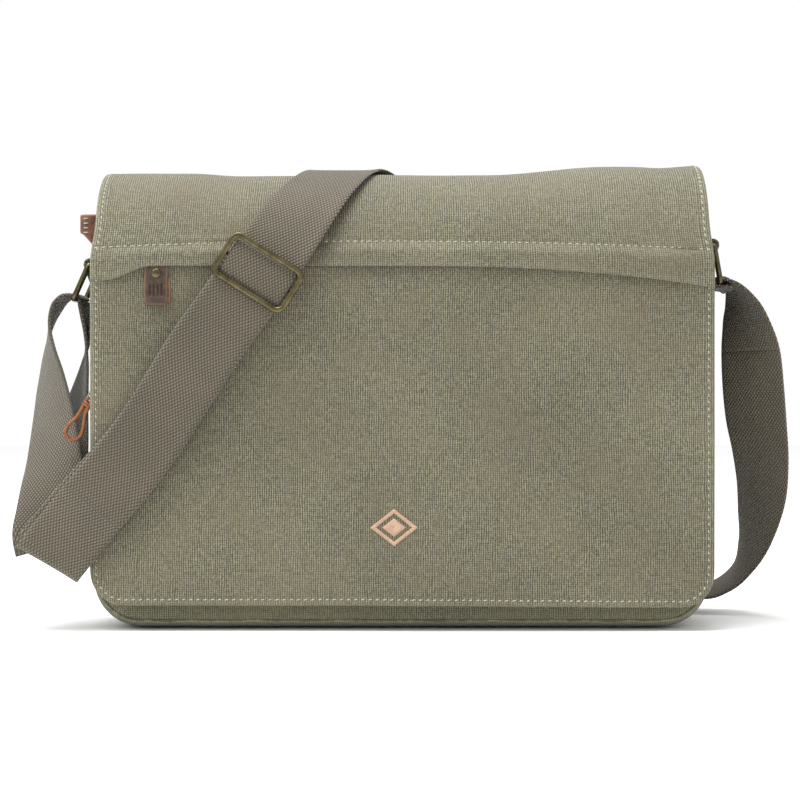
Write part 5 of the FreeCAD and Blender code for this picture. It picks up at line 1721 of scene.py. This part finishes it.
def end_tab():
    """A strip of leather folded over the main zip's end: its fold stands out from the gusset."""
    low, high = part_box("main_zip_end_tab")
    root_x, z0, z1 = high.x * 1000, low.z * 1000 + 2.0, high.z * 1000
    front_y, back_y = low.y * 1000, high.y * 1000
    middle = (front_y + back_y) / 2
    bend = [(root_x, front_y), (root_x - 4.0, front_y - 0.6), (root_x - 8.0, front_y + 0.4),
            (root_x - 10.2, front_y + 3.4), (root_x - 10.6, middle), (root_x - 9.8, back_y - 3.6),
            (root_x - 7.0, back_y - 0.8), (root_x - 3.5, back_y), (root_x, back_y)]
    stations = eased([(Vector((x, y, 0)), Vector((0, 0, 1))) for x, y in bend], 5)
    frames = framed(stations)
    sheet = Sheet()
    along = 0.0
    for i, (centre, _, up) in enumerate(frames):
        if i:
            along += (centre - frames[i - 1][0]).length
        out = Vector((up.x, up.y, 0)).normalized()
        if out.dot(centre - Vector((root_x, middle, 0))) < 0:
            out = -out
        far = (root_x - centre.x) / 10.6
        foot = z0 + 9.0 * smooth(far)
        rows = sheet.new_row()
        for t in (0, 0.03, 0.08, 0.16, 0.3, 0.45, 0.6, 0.75, 0.87, 0.94, 0.975, 1):
            z = foot + (z1 - foot) * t
            edge = min(z - foot, z1 - z)
            soften = 0.5 * (1 - min(edge, 1.0)) ** 2
            flare = 0.5 * wobble(z, along, 0, 14, 6.0)
            spot = Vector((centre.x, centre.y, z)) + out * flare
            rows[0].append(spot + out * (0.95 - soften))
            rows[1].append(spot - out * (0.95 - soften))
            rows[2].append((along, z, max(0.0, 1 - edge / 1.6)))
    made = slab("zip_end_tab_fold", sheet)
    finish_piece(made, "bag", MATERIAL["mid_leather"], ["main_zip_end_tab"])
    for k in range(4):
        z = z1 - 3.0 - 3.2 * k
        line = [Vector((root_x - dx, front_y - 1.6, z)) for dx in (8.4, 6.6, 4.8)]
        stitches(f"zip_end_tab_stitch_{k}", line, "bag", (0, -1, 0), pitch=3.6, length=3.4, slant=0.0)


# ---------------------------------------------------------------- carried CAD nodes
def carried_nodes():
    """The CAD pieces whose shape stays get their detailed finish here."""
    finish = {
        "magnet_sockets": "steel", "magnet_discs": "steel", "flap_pull_link": "steel",
        "flap_zip_tape": "tape", "front_pocket_zip_tape": "tape", "back_pocket_zip_tape": "tape",
    }
    for node, material in finish.items():
        obj = frame["nodes"][node]
        obj.data.materials.clear()
        obj.data.materials.append(MATERIAL[material])


# ---------------------------------------------------------------- studio
def studio():
    """White surroundings, a paper floor, two soft lights and a level camera."""
    scene = bpy.context.scene
    scene.view_settings.view_transform = "Standard"
    world = bpy.data.worlds.new("studio")
    world.use_nodes = True
    world.node_tree.nodes["Background"].inputs[0].default_value = (1, 1, 1, 1)
    world.node_tree.nodes["Background"].inputs[1].default_value = 1.0
    scene.world = world
    n = Nodes("studio paper")
    vector = n.coords("object")[0]
    paper_tone = n.mix(n.noise(vector, 0.004, 2.0), (0.93, 0.93, 0.93, 1), (0.96, 0.96, 0.96, 1))
    n.link(paper_tone, n.shader.inputs["Base Color"])
    n.set(Roughness=0.95)
    reach = 6000.0
    corners = [(-reach, -reach, 0.0), (reach, -reach, 0.0), (reach, reach, 0.0), (-reach, reach, 0.0)]
    paper = mesh_object("studio_floor", corners, [(0, 1, 2, 3)])
    paper.data.materials.append(n.material)
    for name, place, size, energy in (
            ("key", (-1.9, -1.3, 2.1), 0.9, 24.0),
            ("top", (-0.3, -0.4, 2.0), 1.3, 48.0)):
        light = bpy.data.lights.new(name, "AREA")
        light.shape = "DISK"
        light.size = size
        light.energy = energy
        holder = bpy.data.objects.new(name, light)
        holder.location = place
        target = Vector((0, 0, 0.15))
        holder.rotation_euler = (target - Vector(place)).to_track_quat("-Z", "Y").to_euler()
        scene.collection.objects.link(holder)
    camera = bpy.data.cameras.new("camera")
    camera.lens, camera.sensor_width = 100.0, 36.0
    holder = bpy.data.objects.new("camera", camera)
    holder.location = (-0.001, FLAP_OUT_Y * 0.001 - 1.489, 0.1555)
    holder.rotation_euler = (math.pi / 2, 0, 0)
    scene.collection.objects.link(holder)
    scene.camera = holder


def main():
    make_materials()
    studio()
    flap_upper()
    flap_lower()
    flap_lining()
    flap_stitching()
    emblem()
    back_hem()
    for front in (True, False):
        body_shell(front)
    gusset()
    lining_bag()
    insides()
    flat_pocket("front_pocket", 196, 26, 155.5, FRONT_Y, 3.0, 26, -1, ["front_pocket"])
    flat_pocket("back_pocket", 150, 50, 186, BACK_Y, 1.2, 16, 1, ["back_pocket"])
    straight_zip("front_zip", 166.0, 207.0, FRONT_Y, -1, "bag", ["front_pocket_zip_teeth"])
    straight_zip("back_zip", 196.0, 150.0, BACK_Y, 1, "bag", ["back_pocket_zip_teeth"])
    straight_zip("flap_zip", 252.6, 180.0, FLAP_OUT_Y + 2.2, -1, "flap", ["flap_zip_teeth"])
    main_zip()
    strap()
    strap_second_layer()
    rings_and_tabs()
    slider()
    flap_pull()
    front_pull()
    zip_hardware()
    end_tab()
    carried_nodes()


main()
